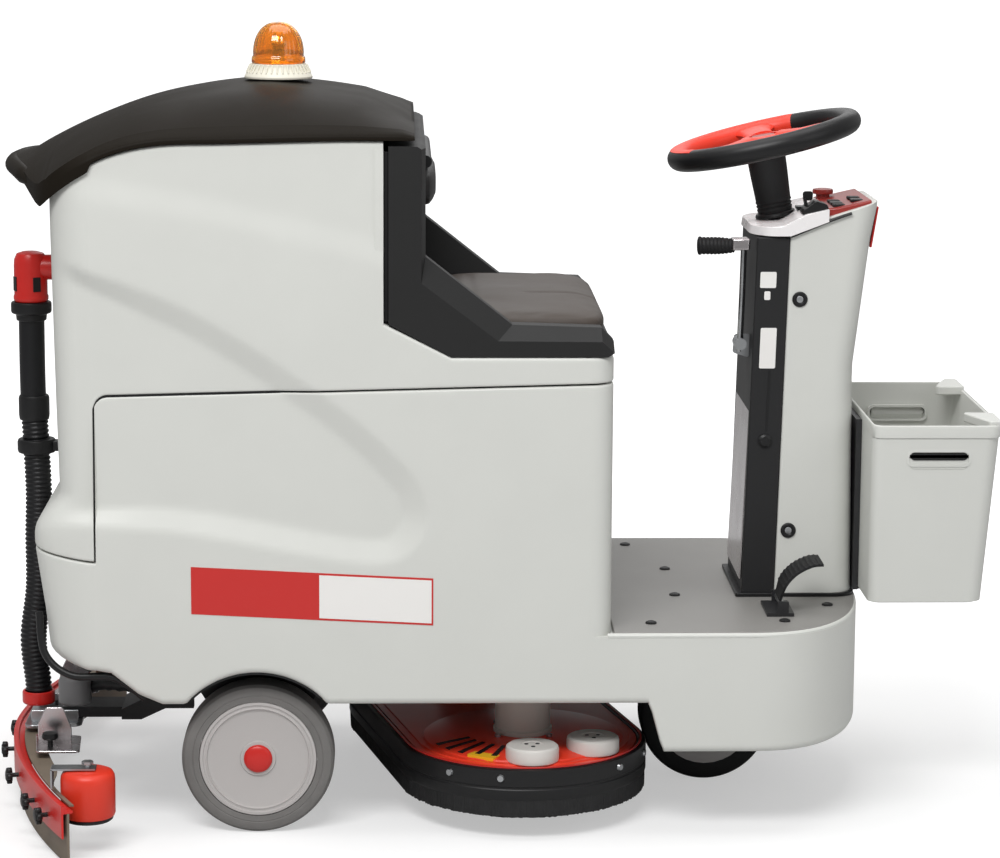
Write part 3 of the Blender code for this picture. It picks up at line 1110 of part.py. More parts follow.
def squeegee():
    bar_low, bar_top = 0.036, 0.100
    arm_z = 0.128
    upright = curved_strip(bar_low, bar_top, 0.0, BAR_THICK, BAR_HALF)
    top = curved_strip(bar_top - 0.012, bar_top - 0.006, 0.001, 0.036, BAR_HALF - 0.015)
    spigot = rod((HOSE_X, 0, 0.070), (HOSE_X, 0, COUPLING_TOP), 0.024, 20)
    bore = rod((HOSE_X, 0, 0.06), (HOSE_X, 0, 0.13), 0.0175, 20)
    roller_pins = []
    for s in (-1, 1):
        x = roller_x()
        roller_pins.append(box((bar_x(ROLLER_Y) + 0.004, s * ROLLER_Y - 0.012, bar_top - 0.012),
                               (x + 0.008, s * ROLLER_Y + 0.012, bar_top - 0.006)))
        roller_pins.append(rod((x, s * ROLLER_Y, 0.050), (x, s * ROLLER_Y, bar_top - 0.007), 0.006, 12))
    node("squeegee_bar", combined(upright, add=[top, spigot] + roller_pins, cut=[bore]), "red")
    blade = curved_strip(0.003, bar_top - 0.0125, BAR_THICK + GAP, BLADE_THICK, BAR_HALF - 0.006)
    notch = rod((HOSE_X, 0, 0.06), (HOSE_X, 0, 0.13), 0.0245, 20)
    node("squeegee_blade", combined(blade, cut=[notch]), "black")
    for s, word in ((-1, "right"), (1, "left")):
        x = roller_x()
        low = 0.044
        roller = turned([(0.0065, low), (0.034, low), (0.039, low + 0.006), (0.039, bar_top - 0.020),
                         (0.035, bar_top - 0.0135),
                         (0.0065, bar_top - 0.0135)], (x, s * ROLLER_Y, 0), segments=24)
        node(f"bumper_roller_{word}", roller, "red", (x, s * ROLLER_Y, low))
        face = bar_x(KNOB_Y) - GAP
        knob = turned([(0, 0), (0.005, 0), (0.005, 0.005), (0.013, 0.007), (0.013, KNOB_REACH - 0.003),
                       (0.010, KNOB_REACH),
                       (0, KNOB_REACH)], (face, s * KNOB_Y, 0.070), (-1, 0, 0), 12)
        node(f"blade_knob_{word}", knob, "black")
    bracket_low = bar_top - 0.006 + GAP
    bracket = box((bar_x(0) + 0.020, -0.075, bracket_low), (ARM_END_X + 0.020, 0.075, bracket_low + 0.006))
    post = rod((ARM_END_X, 0, bracket_low), (ARM_END_X, 0, arm_z + 0.024), 0.008)
    opening = rod((HOSE_X, 0, 0), (HOSE_X, 0, 0.3), 0.0245, 20)
    node("squeegee_bracket", combined(bracket, add=[post], cut=[opening]), "steel")
    arm_low = bracket_low + 0.006 + RUN
    plate = box((ARM_END_X - 0.018, -0.030, arm_low), (-0.560, 0.030, arm_low + 0.016))
    rear_arm = prism([(-0.575, arm_low), (-0.545, arm_low), (PIVOT_X + 0.012, PIVOT_Z - 0.010),
                      (PIVOT_X + 0.012, PIVOT_Z + 0.012),
                      (PIVOT_X - 0.010, PIVOT_Z + 0.012), (-0.575, arm_low + 0.016)], "Y", -0.045, 0.045)
    pin = rod((PIVOT_X, -0.071, PIVOT_Z), (PIVOT_X, 0.071, PIVOT_Z), 0.008)
    hole = rod((ARM_END_X, 0, 0.09), (ARM_END_X, 0, 0.2), 0.008 + 0.0005)
    node("squeegee_arm", combined(rear_arm, add=[plate, pin], cut=[hole]), "paint", (PIVOT_X, 0, PIVOT_Z))


def roller_x():
    return bar_x(ROLLER_Y) + 0.064


def suction_hose():
    low = COUPLING_TOP + GAP
    top = ELBOW_Z - 0.066
    clear = BODY_REAR - BODY_FLARE - HOSE_RADIUS - 0.010
    spots = [(HOSE_X, low), (HOSE_X, low + 0.03), (HOSE_X - 0.006, 0.22), (clear - 0.001, 0.30),
             (clear, 0.38), (clear + 0.002, 0.45),
             (-0.702, 0.53), (ELBOW_X, 0.61), (ELBOW_X, top - 0.02), (ELBOW_X, top)]
    path = [(x, 0, z) for x, z in spots]
    node("suction_hose", swept(path, HOSE_RADIUS, 12), "black")
    foot = rod((ELBOW_X, 0, top + GAP), (ELBOW_X, 0, ELBOW_Z + 0.012), 0.0265, 20)
    neck = rod((ELBOW_X, 0, ELBOW_Z), (BODY_REAR + 0.030, 0, ELBOW_Z), 0.0195, 20)
    flange = rod((BODY_REAR - 0.010, 0, ELBOW_Z), (BODY_REAR - GAP, 0, ELBOW_Z), 0.030, 20)
    node("hose_elbow", combined(foot, add=[neck, flange]), "red")


clear_scene()
MATERIALS = make_materials()
MACHINE = bpy.data.objects.new("MACHINE", None)
bpy.context.scene.collection.objects.link(MACHINE)

chassis_frame()
solution_tank()
recovery_tank()
tank_lid()
beacon()
seat()
power_pack()
rear_wheels()
drive_unit()
steering()
column()
lift_lever()
platform()
litter_bin()
brush_deck()
squeegee()
suction_hose()

rear_end = bar_x(KNOB_Y) - GAP - KNOB_REACH
MACHINE.location.x = -(rear_end + BIN_FRONT) / 2
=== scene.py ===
"""The looks of the ride-on scrubber: every visible surface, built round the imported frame.

Sizes are in metres. Stations are measured along the machine from the part's own origin, forwards, and
SHIFT turns a station into the frame's X.
"""
import math

import bmesh
import bpy
import numpy as np
from mathutils import Euler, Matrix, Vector


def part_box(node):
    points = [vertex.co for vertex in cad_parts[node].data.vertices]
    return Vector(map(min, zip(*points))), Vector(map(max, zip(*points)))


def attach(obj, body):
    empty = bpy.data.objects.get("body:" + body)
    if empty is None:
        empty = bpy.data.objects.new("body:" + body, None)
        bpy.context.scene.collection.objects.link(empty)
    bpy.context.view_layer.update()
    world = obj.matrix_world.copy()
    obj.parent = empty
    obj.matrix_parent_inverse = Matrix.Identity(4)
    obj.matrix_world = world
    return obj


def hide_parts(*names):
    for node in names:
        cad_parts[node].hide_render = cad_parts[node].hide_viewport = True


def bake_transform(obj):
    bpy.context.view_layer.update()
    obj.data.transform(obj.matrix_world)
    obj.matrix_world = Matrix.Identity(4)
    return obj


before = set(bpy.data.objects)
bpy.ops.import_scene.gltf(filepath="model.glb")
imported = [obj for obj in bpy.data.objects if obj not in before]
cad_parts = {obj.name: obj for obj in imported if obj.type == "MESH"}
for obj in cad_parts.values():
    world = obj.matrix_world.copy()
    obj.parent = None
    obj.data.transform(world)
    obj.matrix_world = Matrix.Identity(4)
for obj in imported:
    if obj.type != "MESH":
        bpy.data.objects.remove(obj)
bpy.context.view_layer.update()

BIN_FRONT = 0.736        # station of the litter bin's front, the frame's foremost point
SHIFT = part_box("litter_bin")[1].x - BIN_FRONT

# Body
HALF = 0.33             # half width of the tanks
REAR = -0.645            # station of the rear face
SIDE_END = 0.126         # where the seat base's front corner starts to turn
BASE_FRONT = 0.156       # front of the seat base
NOSE_START = 0.36
NOSE_FRONT = 0.545
REAR_CORNER = 0.06
FLOOR = 0.3            # height of the foot platform's seat
SEAM = 0.655             # height of the joint between the two tanks
SEAM_LOW = 0.41         # where that joint ends at the rear
SEAM_X = -0.583          # station of its upright stretch
SEAM_TURN = 0.02
SEAM_GAP = 0.0028
SEAT_LINE = 0.706
RAMP_TOP = 0.754
TOWER_FRONT = -0.172
TANK_TOP = 1.003
WALL = 0.016
ARCH_RADIUS = 0.135
REAR_AXLE = -0.355
REAR_RADIUS = 0.111

# Seat
SHELL_HALF = 0.329
PAN_HALF = 0.2623
BACK_FRONT = -0.1125
BACK_TOP = 1.004
BOLSTER_TOP = 0.846

# Column
COLUMN_HALF = 0.1
COLUMN_FOOT = 0.3065
WHEEL_CENTRE = Vector((0.399, 0, 0.985))
WHEEL_LEAN = math.radians(10.4)
RIM_CENTRE = Vector((0.399, 0, 0.9885))
RIM_LEAN = math.radians(13.4)
RIM_RADIUS = 0.1325
RIM_TUBE = 0.016

# Deck
RIGHT_BRUSH = (0.035, -0.163)
LEFT_BRUSH = (-0.045, 0.163)
SKIRT_FOOT, SKIRT_TOP = 0.0615, 0.107    # heights between which the rubber band runs

# Squeegee and hose
BLADE_HALF = 0.46
BOW_REAR = -0.7405       # station of the bar's middle
BOW_DEPTH = 0.117        # how far its ends reach ahead of that
SPIGOT = -0.706          # station of the hose's lower end
ELBOW = -0.705           # station of its upper end

SIDES = (("right", -1), ("left", 1))


# ---------------------------------------------------------------- materials

def tone(red, green, blue):
    """Linear colour from display values of 0 to 255."""
    linear = [c / 255 / 12.92 if c < 11 else ((c / 255 + 0.055) / 1.055) ** 2.4 for c in (red, green, blue)]
    return (*linear, 1.0)


class Finish:
    """A Principled material whose colour, roughness and bump come from nodes in the object's own space."""

    def __init__(self, name, colour, rough=0.5, metal=0.0, **sockets):
        self.mat = bpy.data.materials.new(name)
        self.mat.use_nodes = True
        self.tree = self.mat.node_tree
        self.shader = self.tree.nodes["Principled BSDF"]
        self.shader.inputs["Metallic"].default_value = metal
        for label, value in sockets.items():
            self.shader.inputs[label.replace("_", " ")].default_value = value
        self.space = self.node("ShaderNodeTexCoord").outputs["Object"]
        self.colour, self.rough = colour, rough
        self.height = None

    def node(self, kind, **settings):
        made = self.tree.nodes.new(kind)
        for key, value in settings.items():
            setattr(made, key, value)
        return made

    def link(self, a, b):
        self.tree.links.new(a, b)

    def stretched(self, scale):
        mapping = self.node("ShaderNodeMapping")
        mapping.inputs["Scale"].default_value = scale
        self.link(self.space, mapping.inputs["Vector"])
        return mapping.outputs["Vector"]

    def noise(self, scale, detail=3.0, space=None):
        made = self.node("ShaderNodeTexNoise")
        made.inputs["Scale"].default_value = scale
        made.inputs["Detail"].default_value = detail
        self.link(space or self.space, made.inputs["Vector"])
        return made.outputs["Fac"]

    def cells(self, scale):
        made = self.node("ShaderNodeTexVoronoi", feature="DISTANCE_TO_EDGE")
        made.inputs["Scale"].default_value = scale
        self.link(self.space, made.inputs["Vector"])
        return made.outputs["Distance"]

    def mottle(self, scale=9.0, spread=0.012, rough_spread=0.03):
        """Slow variation of colour and gloss, as on a used moulding."""
        source = self.noise(scale, 5.0)
        ramp = self.node("ShaderNodeValToRGB")
        ends = ramp.color_ramp.elements
        ends[0].position, ends[1].position = 0.3, 0.7
        ends[0].color = (*[c * (1 - spread) for c in self.colour[:3]], 1)
        ends[1].color = (*[min(c * (1 + spread), 1) for c in self.colour[:3]], 1)
        self.link(source, ramp.inputs["Fac"])
        self.link(ramp.outputs["Color"], self.shader.inputs["Base Color"])
        span = self.node("ShaderNodeMapRange")
        limits = (0.3, 0.7, max(self.rough - rough_spread, 0.03), min(self.rough + rough_spread, 1.0))
        for label, value in zip(("From Min", "From Max", "To Min", "To Max"), limits):
            span.inputs[label].default_value = value
        self.link(source, span.inputs["Value"])
        self.link(span.outputs["Result"], self.shader.inputs["Roughness"])
        return self

    def bump(self, source, depth):
        """Adds a relief of a depth in metres to the ones that the surface already has."""
        made = self.node("ShaderNodeBump")
        made.inputs["Distance"].default_value = depth
        made.inputs["Strength"].default_value = 1.0
        self.link(source, made.inputs["Height"])
        if self.height is not None:
            self.link(self.height, made.inputs["Normal"])
        self.height = made.outputs["Normal"]
        self.link(self.height, self.shader.inputs["Normal"])
        return self


def moulded(name, colour, rough, grain=1400.0, grain_depth=0.00006, **more):
    """Moulded plastic or paint with a fine grain."""
    made = Finish(name, colour, rough, **more).mottle()
    return made.bump(made.noise(grain, 2.0), grain_depth).mat


def rubber(name, colour, rough=0.75):
    made = Finish(name, colour, rough, Specular_IOR_Level=0.3).mottle(22.0, 0.1, 0.08)
    return made.bump(made.noise(700.0, 4.0), 0.00012).mat


def metal(name, colour, rough):
    """Bare metal with a fine brushing along the machine."""
    made = Finish(name, colour, rough, metal=1.0).mottle(18.0, 0.06, 0.06)
    return made.bump(made.noise(1.0, 3.0, made.stretched((6, 260, 260))), 0.00003).mat


def leather(name, colour, rough):
    made = Finish(name, colour, rough, Specular_IOR_Level=0.25).mottle(7.0, 0.1, 0.06)
    return made.bump(made.cells(620.0), 0.0001).bump(made.noise(60.0, 3.0), 0.0003).mat


def bristle():
    made = Finish("bristle", tone(24, 24, 25), 0.62).mottle(90.0, 0.5, 0.1)
    return made.bump(made.noise(1.0, 3.0, made.stretched((420, 420, 12))), 0.0012).mat


def amber():
    made = Finish("amber_lens", tone(250, 172, 48), 0.06, Transmission_Weight=0.85, IOR=1.49, Coat_Weight=0.3)
    return made.mottle(30.0, 0.1, 0.02).mat


GREY = tone(210, 211, 206)
SHELL = moulded("shell_plastic", GREY, 0.42)
# A darker copy of the shell plastic: painted shade for the tank's inside and the tray under the body.
SHELL_SHADED = moulded("shell_painted_shade", tone(150, 151, 147), 0.6)
LID = moulded("lid_plastic", tone(28, 24, 19), 0.5, grain=1100.0, Specular_IOR_Level=0.06)
SEAT_SHELL = moulded("seat_shell_plastic", tone(40, 40, 40), 0.52, grain=1000.0, grain_depth=0.0001,
                     Specular_IOR_Level=0.18)
VINYL = leather("seat_vinyl", tone(70, 63, 58), 0.5)
VINYL_DARK = leather("pad_vinyl", tone(36, 35, 35), 0.45)
BLACK = moulded("black_plastic", tone(24, 24, 25), 0.4, Specular_IOR_Level=0.35)
COVER = moulded("cover_plastic", tone(39, 39, 40), 0.48, grain=1000.0, Specular_IOR_Level=0.24)
RUBBER = rubber("black_rubber", tone(26, 26, 27), 0.62)
TYRE = rubber("tyre_rubber", tone(118, 116, 114), 0.72)
TYRE_DARK = rubber("drive_rubber", tone(34, 34, 35), 0.72)
HUB = moulded("hub_plastic", tone(187, 183, 181), 0.45)
RED = moulded("red_plastic", tone(205, 36, 30), 0.32)
BRIGHT_RED = moulded("orange_red_plastic", tone(226, 56, 34), 0.4)
DECK_RED = moulded("red_paint", tone(236, 62, 38), 0.34, grain=500.0)
DARK_RED = moulded("fascia_plastic", tone(150, 48, 42), 0.35)
PAINT = moulded("frame_paint", tone(34, 34, 36), 0.45, grain=500.0)
PLATE = moulded("plate_paint", tone(136, 134, 131), 0.4, grain=600.0, grain_depth=0.0002)
STEEL = metal("steel", tone(176, 178, 180), 0.34)
CHROME = metal("chrome", tone(214, 216, 218), 0.14)
SILVER = metal("silver_panel", tone(205, 200, 201), 0.26)
CREAM = moulded("cream_plastic", tone(226, 222, 207), 0.42)
ROLLER = moulded("roller_plastic", tone(212, 209, 204), 0.45)
STICKER = moulded("sticker", tone(236, 234, 231), 0.32, grain=300.0)
LABEL_RED = moulded("label_red", tone(198, 40, 36), 0.32, grain=300.0)
YELLOW = moulded("yellow_sticker", tone(244, 190, 40), 0.35, grain=300.0)
MOTOR = moulded("motor_paint", tone(196, 192, 185), 0.45, grain=600.0)
DAMPER = moulded("damper_paint", tone(112, 112, 113), 0.45, grain=600.0)
# Near white: the dashboard's silver with a painted highlight standing for its chrome reflections.
DASH_SILVER_AND_HIGHLIGHT = moulded("dashboard_silver_and_highlight", tone(246, 243, 243), 0.28, grain=900.0, metal=0.1)
BATTERY = moulded("battery_plastic", tone(58, 60, 64), 0.5)
HOSE = moulded("hose_plastic", tone(22, 22, 24), 0.36, Specular_IOR_Level=0.35)
BLADE = rubber("blade_rubber", tone(124, 112, 98), 0.55)
AMBER = amber()
BRISTLE = bristle()


# ---------------------------------------------------------------- shapes

def smooth(t):
    t = np.clip(t, 0, 1)
    return t * t * (3 - 2 * t)


def through(points, count):
    """Points on a smooth curve through the given ones, evenly spaced."""
    p = np.array([points[0], *points, points[-1]], float)
    dense = []
    for i in range(1, len(p) - 2):
        for t in np.linspace(0, 1, 16, endpoint=False):
            a, b, c, d = p[i - 1], p[i], p[i + 1], p[i + 2]
            dense.append(0.5 * (2 * b + (c - a) * t + (2 * a - 5 * b + 4 * c - d) * t * t
                                + (3 * b - a - 3 * c + d) * t ** 3))
    dense = np.array([*dense, p[-1]])
    along = np.concatenate([[0], np.cumsum(np.linalg.norm(np.diff(dense, axis=0), axis=1))])
    at = np.linspace(0, along[-1], count)
    return np.stack([np.interp(at, along, dense[:, k]) for k in range(p.shape[1])], axis=1)


def rounded(corners, radius, steps=4):
    """A closed outline with each corner turned into an arc. radius is one number or one for each corner."""
    n = len(corners)
    radii = [radius] * n if isinstance(radius, (int, float)) else radius
    out = []
    for i, r in enumerate(radii):
        here = Vector(corners[i])
        back, on = Vector(corners[i - 1]) - here, Vector(corners[(i + 1) % n]) - here
        if r < 1e-6:
            out.append(tuple(here))
            continue
        half = back.angle(on) / 2
        reach = min(r / math.tan(half), 0.49 * back.length, 0.49 * on.length)
        r = reach * math.tan(half)
        middle = here + (back.normalized() + on.normalized()).normalized() * (r / math.sin(half))
        a = here + back.normalized() * reach - middle
        b = here + on.normalized() * reach - middle
        for k in range(steps + 1):
            part = a.lerp(b, k / steps)
            out.append(tuple(middle + part.normalized() * r))
    return out


def loft(rings, closed=True, cap=True):
    """Points and faces of a surface through rings of equal length."""
    n = len(rings[0])
    faces = []
    for i in range(len(rings) - 1):
        for j in range(n if closed else n - 1):
            a, b = i * n + j, i * n + (j + 1) % n
            faces.append((a, b, b + n, a + n))
    if cap:
        faces += [tuple(range(n))[::-1], tuple(range((len(rings) - 1) * n, len(rings) * n))]
    return [tuple(p) for ring in rings for p in ring], faces


def wrapped(rings):
    """A surface through rings that also joins the last ring to the first."""
    points, faces = loft(rings, True, False)
    n, last = len(rings[0]), (len(rings) - 1) * len(rings[0])
    faces += [(last + j, last + (j + 1) % n, (j + 1) % n, j) for j in range(n)]
    return points, faces


def slab(outline, low, high, axis="y"):
    """An outline drawn in the plane across an axis, from low to high along it."""
    place = {"y": lambda a, b, t: (a, t, b), "z": lambda a, b, t: (a, b, t), "x": lambda a, b, t: (t, a, b)}[axis]
    return loft([[place(a, b, t) for a, b in outline] for t in (low, high)])


def turned(profile, centre=(0, 0, 0), axis="z", steps=48, sign=1):
    """A profile of (radius, along) turned round an axis through centre. sign -1 points it the other way."""
    rings = []
    for k in range(steps):
        c, s = math.cos(k * math.tau / steps), math.sin(k * math.tau / steps)
        ring = []
        for r, t in ((r, sign * t) for r, t in profile):
            local = {"z": (r * c, r * s, t), "y": (r * c, t, r * s), "x": (t, r * c, r * s)}[axis]
            ring.append(tuple(a + b for a, b in zip(local, centre)))
        rings.append(ring)
    return wrapped(rings)


def tube(path, radius, sides=16):
    """A round bar along a path. radius is a number or one for each point."""
    path = [Vector(p) for p in path]
    radii = [radius] * len(path) if isinstance(radius, (int, float)) else radius
    up = Vector((0, 1, 0))
    rings = []
    for i, p in enumerate(path):
        along = (path[min(i + 1, len(path) - 1)] - path[max(i - 1, 0)]).normalized()
        if abs(along.dot(up)) > 0.95:
            up = Vector((1, 0, 0))
        side = along.cross(up).normalized()
        up = side.cross(along).normalized()
        rings.append([p + (side * math.cos(a) + up * math.sin(a)) * radii[i]
                      for a in (k * math.tau / sides for k in range(sides))])
    return loft(rings)


def box_shape(x0, x1, y0, y1, z0, z1):
    return slab([(x0, z0), (x1, z0), (x1, z1), (x0, z1)], y0, y1)


def joined(*shapes):
    points, faces = [], []
    for some, more in shapes:
        faces += [tuple(i + len(points) for i in f) for f in more]
        points += some
    return points, faces


def polar(angle, radius=1.0):
    """A level vector that points at an angle from straight ahead."""
    return Vector((math.cos(angle), math.sin(angle), 0)) * radius


def leaned(shape, pivot=WHEEL_CENTRE, angle=WHEEL_LEAN):
    """A shape modelled about the origin, tilted with the steering wheel and put at its centre."""
    points, faces = shape
    c, s = math.cos(angle), math.sin(angle)
    return [(pivot.x + x * c - z * s, pivot.y + y, pivot.z + x * s + z * c) for x, y, z in points], faces


def piece(name, shape, mat, body="machine", stands_for=None, bevel=0.0, segments=2, angle=32):
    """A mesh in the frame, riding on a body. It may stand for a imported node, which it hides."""
    points, faces = shape
    mesh = bpy.data.meshes.new(name)
    mesh.from_pydata([(x + SHIFT, y, z) for x, y, z in points], [], faces)
    mesh.materials.append(mat)
    work = bmesh.new()
    work.from_mesh(mesh)
    bmesh.ops.remove_doubles(work, verts=work.verts, dist=1e-6)
    bmesh.ops.dissolve_degenerate(work, edges=work.edges, dist=1e-7)
    bmesh.ops.recalc_face_normals(work, faces=work.faces)
    work.to_mesh(mesh)
    work.free()
    mesh.shade_smooth()
    mesh.set_sharp_from_angle(angle=math.radians(angle))
    obj = bpy.data.objects.new(name, mesh)
    bpy.context.scene.collection.objects.link(obj)
    if bevel:
        edge = obj.modifiers.new("edges", "BEVEL")
        edge.width, edge.segments, edge.limit_method = bevel, segments, "ANGLE"
        edge.angle_limit = math.radians(angle)
        obj.modifiers.new("normals", "WEIGHTED_NORMAL").keep_sharp = True
    if body:
        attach(obj, body)
    if stands_for:
        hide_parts(stands_for)
    return obj


# ---------------------------------------------------------------- tanks

def tank_rim(x):
    """Height of the dirty water tank's rim, which falls away towards the rear."""
    fall = 0.072 * np.clip((-0.42 - x) / 0.225, 0, None) ** 2.8
    return TANK_TOP + 0.0035 + 0.005 * smooth((x + 0.45) / 0.25) - fall


def rear_shift(z):
    """How far the rear face stands behind or ahead of its nominal station at a height: the bumper lip."""
    heights = [0.246, 0.272, 0.33, 0.428, 0.454, 0.478, 0.5, 0.643, 0.9]
    shifts = [0.028, -0.009, -0.015, -0.029, -0.029, -0.014, 0.008, 0.005, 0.001]
    return sum(np.interp(z + d, heights, shifts) for d in (-0.008, -0.003, 0.003, 0.008)) / 4


def skirt_edge(x):
    """Height of the body's lower edge along the side, with the wheel arch."""
    edge = np.interp(x, [-0.585, -0.563, -0.523, -0.49, 0.212, 0.232], [0.25, 0.246, 0.214, 0.2, 0.2, 0.127])
    across = ARCH_RADIUS ** 2 - (x - REAR_AXLE) ** 2
    return np.maximum(edge, REAR_RADIUS + np.sqrt(np.maximum(across, 0)))


UPPER_EDGE = through([(-0.7, 0.87), (-0.622, 0.84), (-0.441, 0.77), (-0.241, 0.64), (-0.139, 0.547),
                      (-0.11, 0.493), (-0.109, 0.462)], 60)
LOWER_EDGE = through([(-0.7, 0.464), (-0.636, 0.464), (-0.445, 0.45), (-0.235, 0.411), (-0.16, 0.409),
                      (-0.124, 0.434), (-0.109, 0.462)], 60)


def relief(x, z):
    """Depth of the swept panel on the tank's side: sloping edges and a flat floor 12.5 mm in."""
    outline = np.concatenate([UPPER_EDGE, LOWER_EDGE[::-1], UPPER_EDGE[:1]])
    a, b = outline[:-1], outline[1:]
    p = np.stack([x, z], axis=-1)[..., None, :]
    t = np.clip(((p - a) * (b - a)).sum(-1) / np.maximum(((b - a) ** 2).sum(-1), 1e-12), 0, 1)
    near = np.linalg.norm(p - a - t[..., None] * (b - a), axis=-1).min(-1)
    rise = np.where(np.abs(b[:, 1] - a[:, 1]) < 1e-9, 1e-9, b[:, 1] - a[:, 1])
    spans = (a[:, 1] > z[:, None]) != (b[:, 1] > z[:, None])
    crossed = spans & (x[:, None] < (b[:, 0] - a[:, 0]) * (z[:, None] - a[:, 1]) / rise + a[:, 0])
    inside = crossed.sum(-1) % 2 == 1
    width = np.interp(x, [-0.62, -0.5, -0.2], [0.022, 0.034, 0.036])
    panel = 0.0125 * np.where(inside, np.clip(near / width, 0, 1), 0)
    crease = np.interp(x, [-0.62, -0.427, -0.177, -0.12], [0.925, 0.893, 0.832, 0.8])
    lean = 0.004 * smooth((z - crease) / 0.05)
    return (panel + lean) * smooth((x + 0.648) / 0.045)


def half_plan(kind):
    """Right half of the body's outline seen from above, from the rear's middle to the front's."""
    points = [(REAR, -y) for y in np.arange(0, HALF - REAR_CORNER, 0.02)]
    points += [(REAR + REAR_CORNER * (1 - math.cos(a)), -HALF + REAR_CORNER * (1 - math.sin(a)))
               for a in np.linspace(0, math.pi / 2, 11)]
    side = set(np.round(np.arange(REAR + REAR_CORNER + 0.005, SIDE_END, 0.005), 4))
    side |= {round(SEAM_X + d, 5) for d in (-0.0015, -0.0013, 0.0013, 0.0015, 0.005, 0.01, 0.015, 0.02)}
    side |= {TOWER_FRONT - 0.0002, TOWER_FRONT, -0.076, SIDE_END}
    points += [(x, -HALF) for x in sorted(side)]
    if kind == "nose":
        points += [(x, -HALF) for x in np.arange(SIDE_END + 0.006, NOSE_START, 0.006)]
        for t in np.linspace(0, math.pi / 2, 30):
            ahead = (NOSE_FRONT - NOSE_START) * math.sin(t) ** 0.85
            points.append((NOSE_START + ahead, -HALF * abs(math.cos(t)) ** 0.8))
        points[-1] = (NOSE_FRONT, 0.0)
    else:
        r = BASE_FRONT - SIDE_END
        points += [(SIDE_END + r * math.sin(a), -HALF + r * (1 - math.cos(a)))
                   for a in np.linspace(0, math.pi / 2, 8)[1:]]
        points += [(BASE_FRONT, y) for y in np.linspace(-HALF + r, 0, 12)[1:]]
    return points


def columns(kind):
    """Stations round the whole outline with their outward directions, as an array of x, y, nx, ny."""
    right = half_plan(kind)
    loop = right + [(x, -y) for x, y in right[-2:0:-1]]
    p = np.array(loop)
    along = np.roll(p, -1, axis=0) - np.roll(p, 1, axis=0)
    out = np.stack([along[:, 1], -along[:, 0]], axis=1)
    side = np.sign(p[:, 1])
    turn = p - np.stack([np.full(len(p), REAR + REAR_CORNER), side * (HALF - REAR_CORNER)], axis=1)
    corner = (p[:, 0] <= REAR + REAR_CORNER) & (turn[:, 1] * side > 0)
    out[corner] = turn[corner]
    flank = np.abs(p[:, 1]) > HALF - 1e-9
    out[flank, 0] = 0
    out[flank, 1] = p[flank, 1]
    return np.concatenate([p, out / np.linalg.norm(out, axis=1, keepdims=True)], axis=1)


def shell(stations, low, high, foot, brim):
    """A thin wall that follows the outline, with rounded lower and upper edges, the relief and the rear lip."""
    levels = np.arange(np.min(low), np.max(high), 0.0065)
    rings = []
    for (x, y, nx, ny), bottom, top in zip(stations, low, high):
        ring = [(WALL, bottom)]
        if foot:
            ring += [(foot * (1 - math.sin(a)), bottom + foot * (1 - math.cos(a))) for a in np.linspace(0, 1.2, 4)]
        ring += [(0, z) for z in np.clip([bottom, *levels, top], bottom + foot, top - brim)]
        if brim:
            ring += [(brim * (1 - math.cos(a)), top - brim * (1 - math.sin(a)))
                     for a in np.linspace(0.37, math.pi / 2, 4)]
        ring += [(WALL, z) for z in np.linspace(top, bottom, 6)[:-1]]
        inset, height = np.array(ring).T
        depth = relief(np.full(len(height), x), height) * min(abs(ny) ** 2, 1.0) * (x < SIDE_END)
        depth = np.where(inset < WALL, depth, 0) + inset
        back = rear_shift(height) * smooth((SEAM_X - 0.004 - x) / 0.05)
        rings.append([(x - nx * d + s, y - ny * d, z) for d, s, z in zip(depth, back, height)])
    return wrapped(rings)


def seam_height(x, offset, upright):
    """Height of the joint between the tanks. upright is the station at which it drops to the rear."""
    turn = np.clip((SEAM_X + SEAM_TURN - x) / SEAM_TURN, 0, 1)
    ahead = SEAM - 0.007 + 0.027 * (x - SEAM_X) - SEAM_TURN * (1 - np.sqrt(1 - turn ** 2)) + offset
    behind = SEAM_LOW + 0.018 * smooth((SEAM_X - x) / 0.08) + offset
    return np.where(x < upright, behind, ahead)


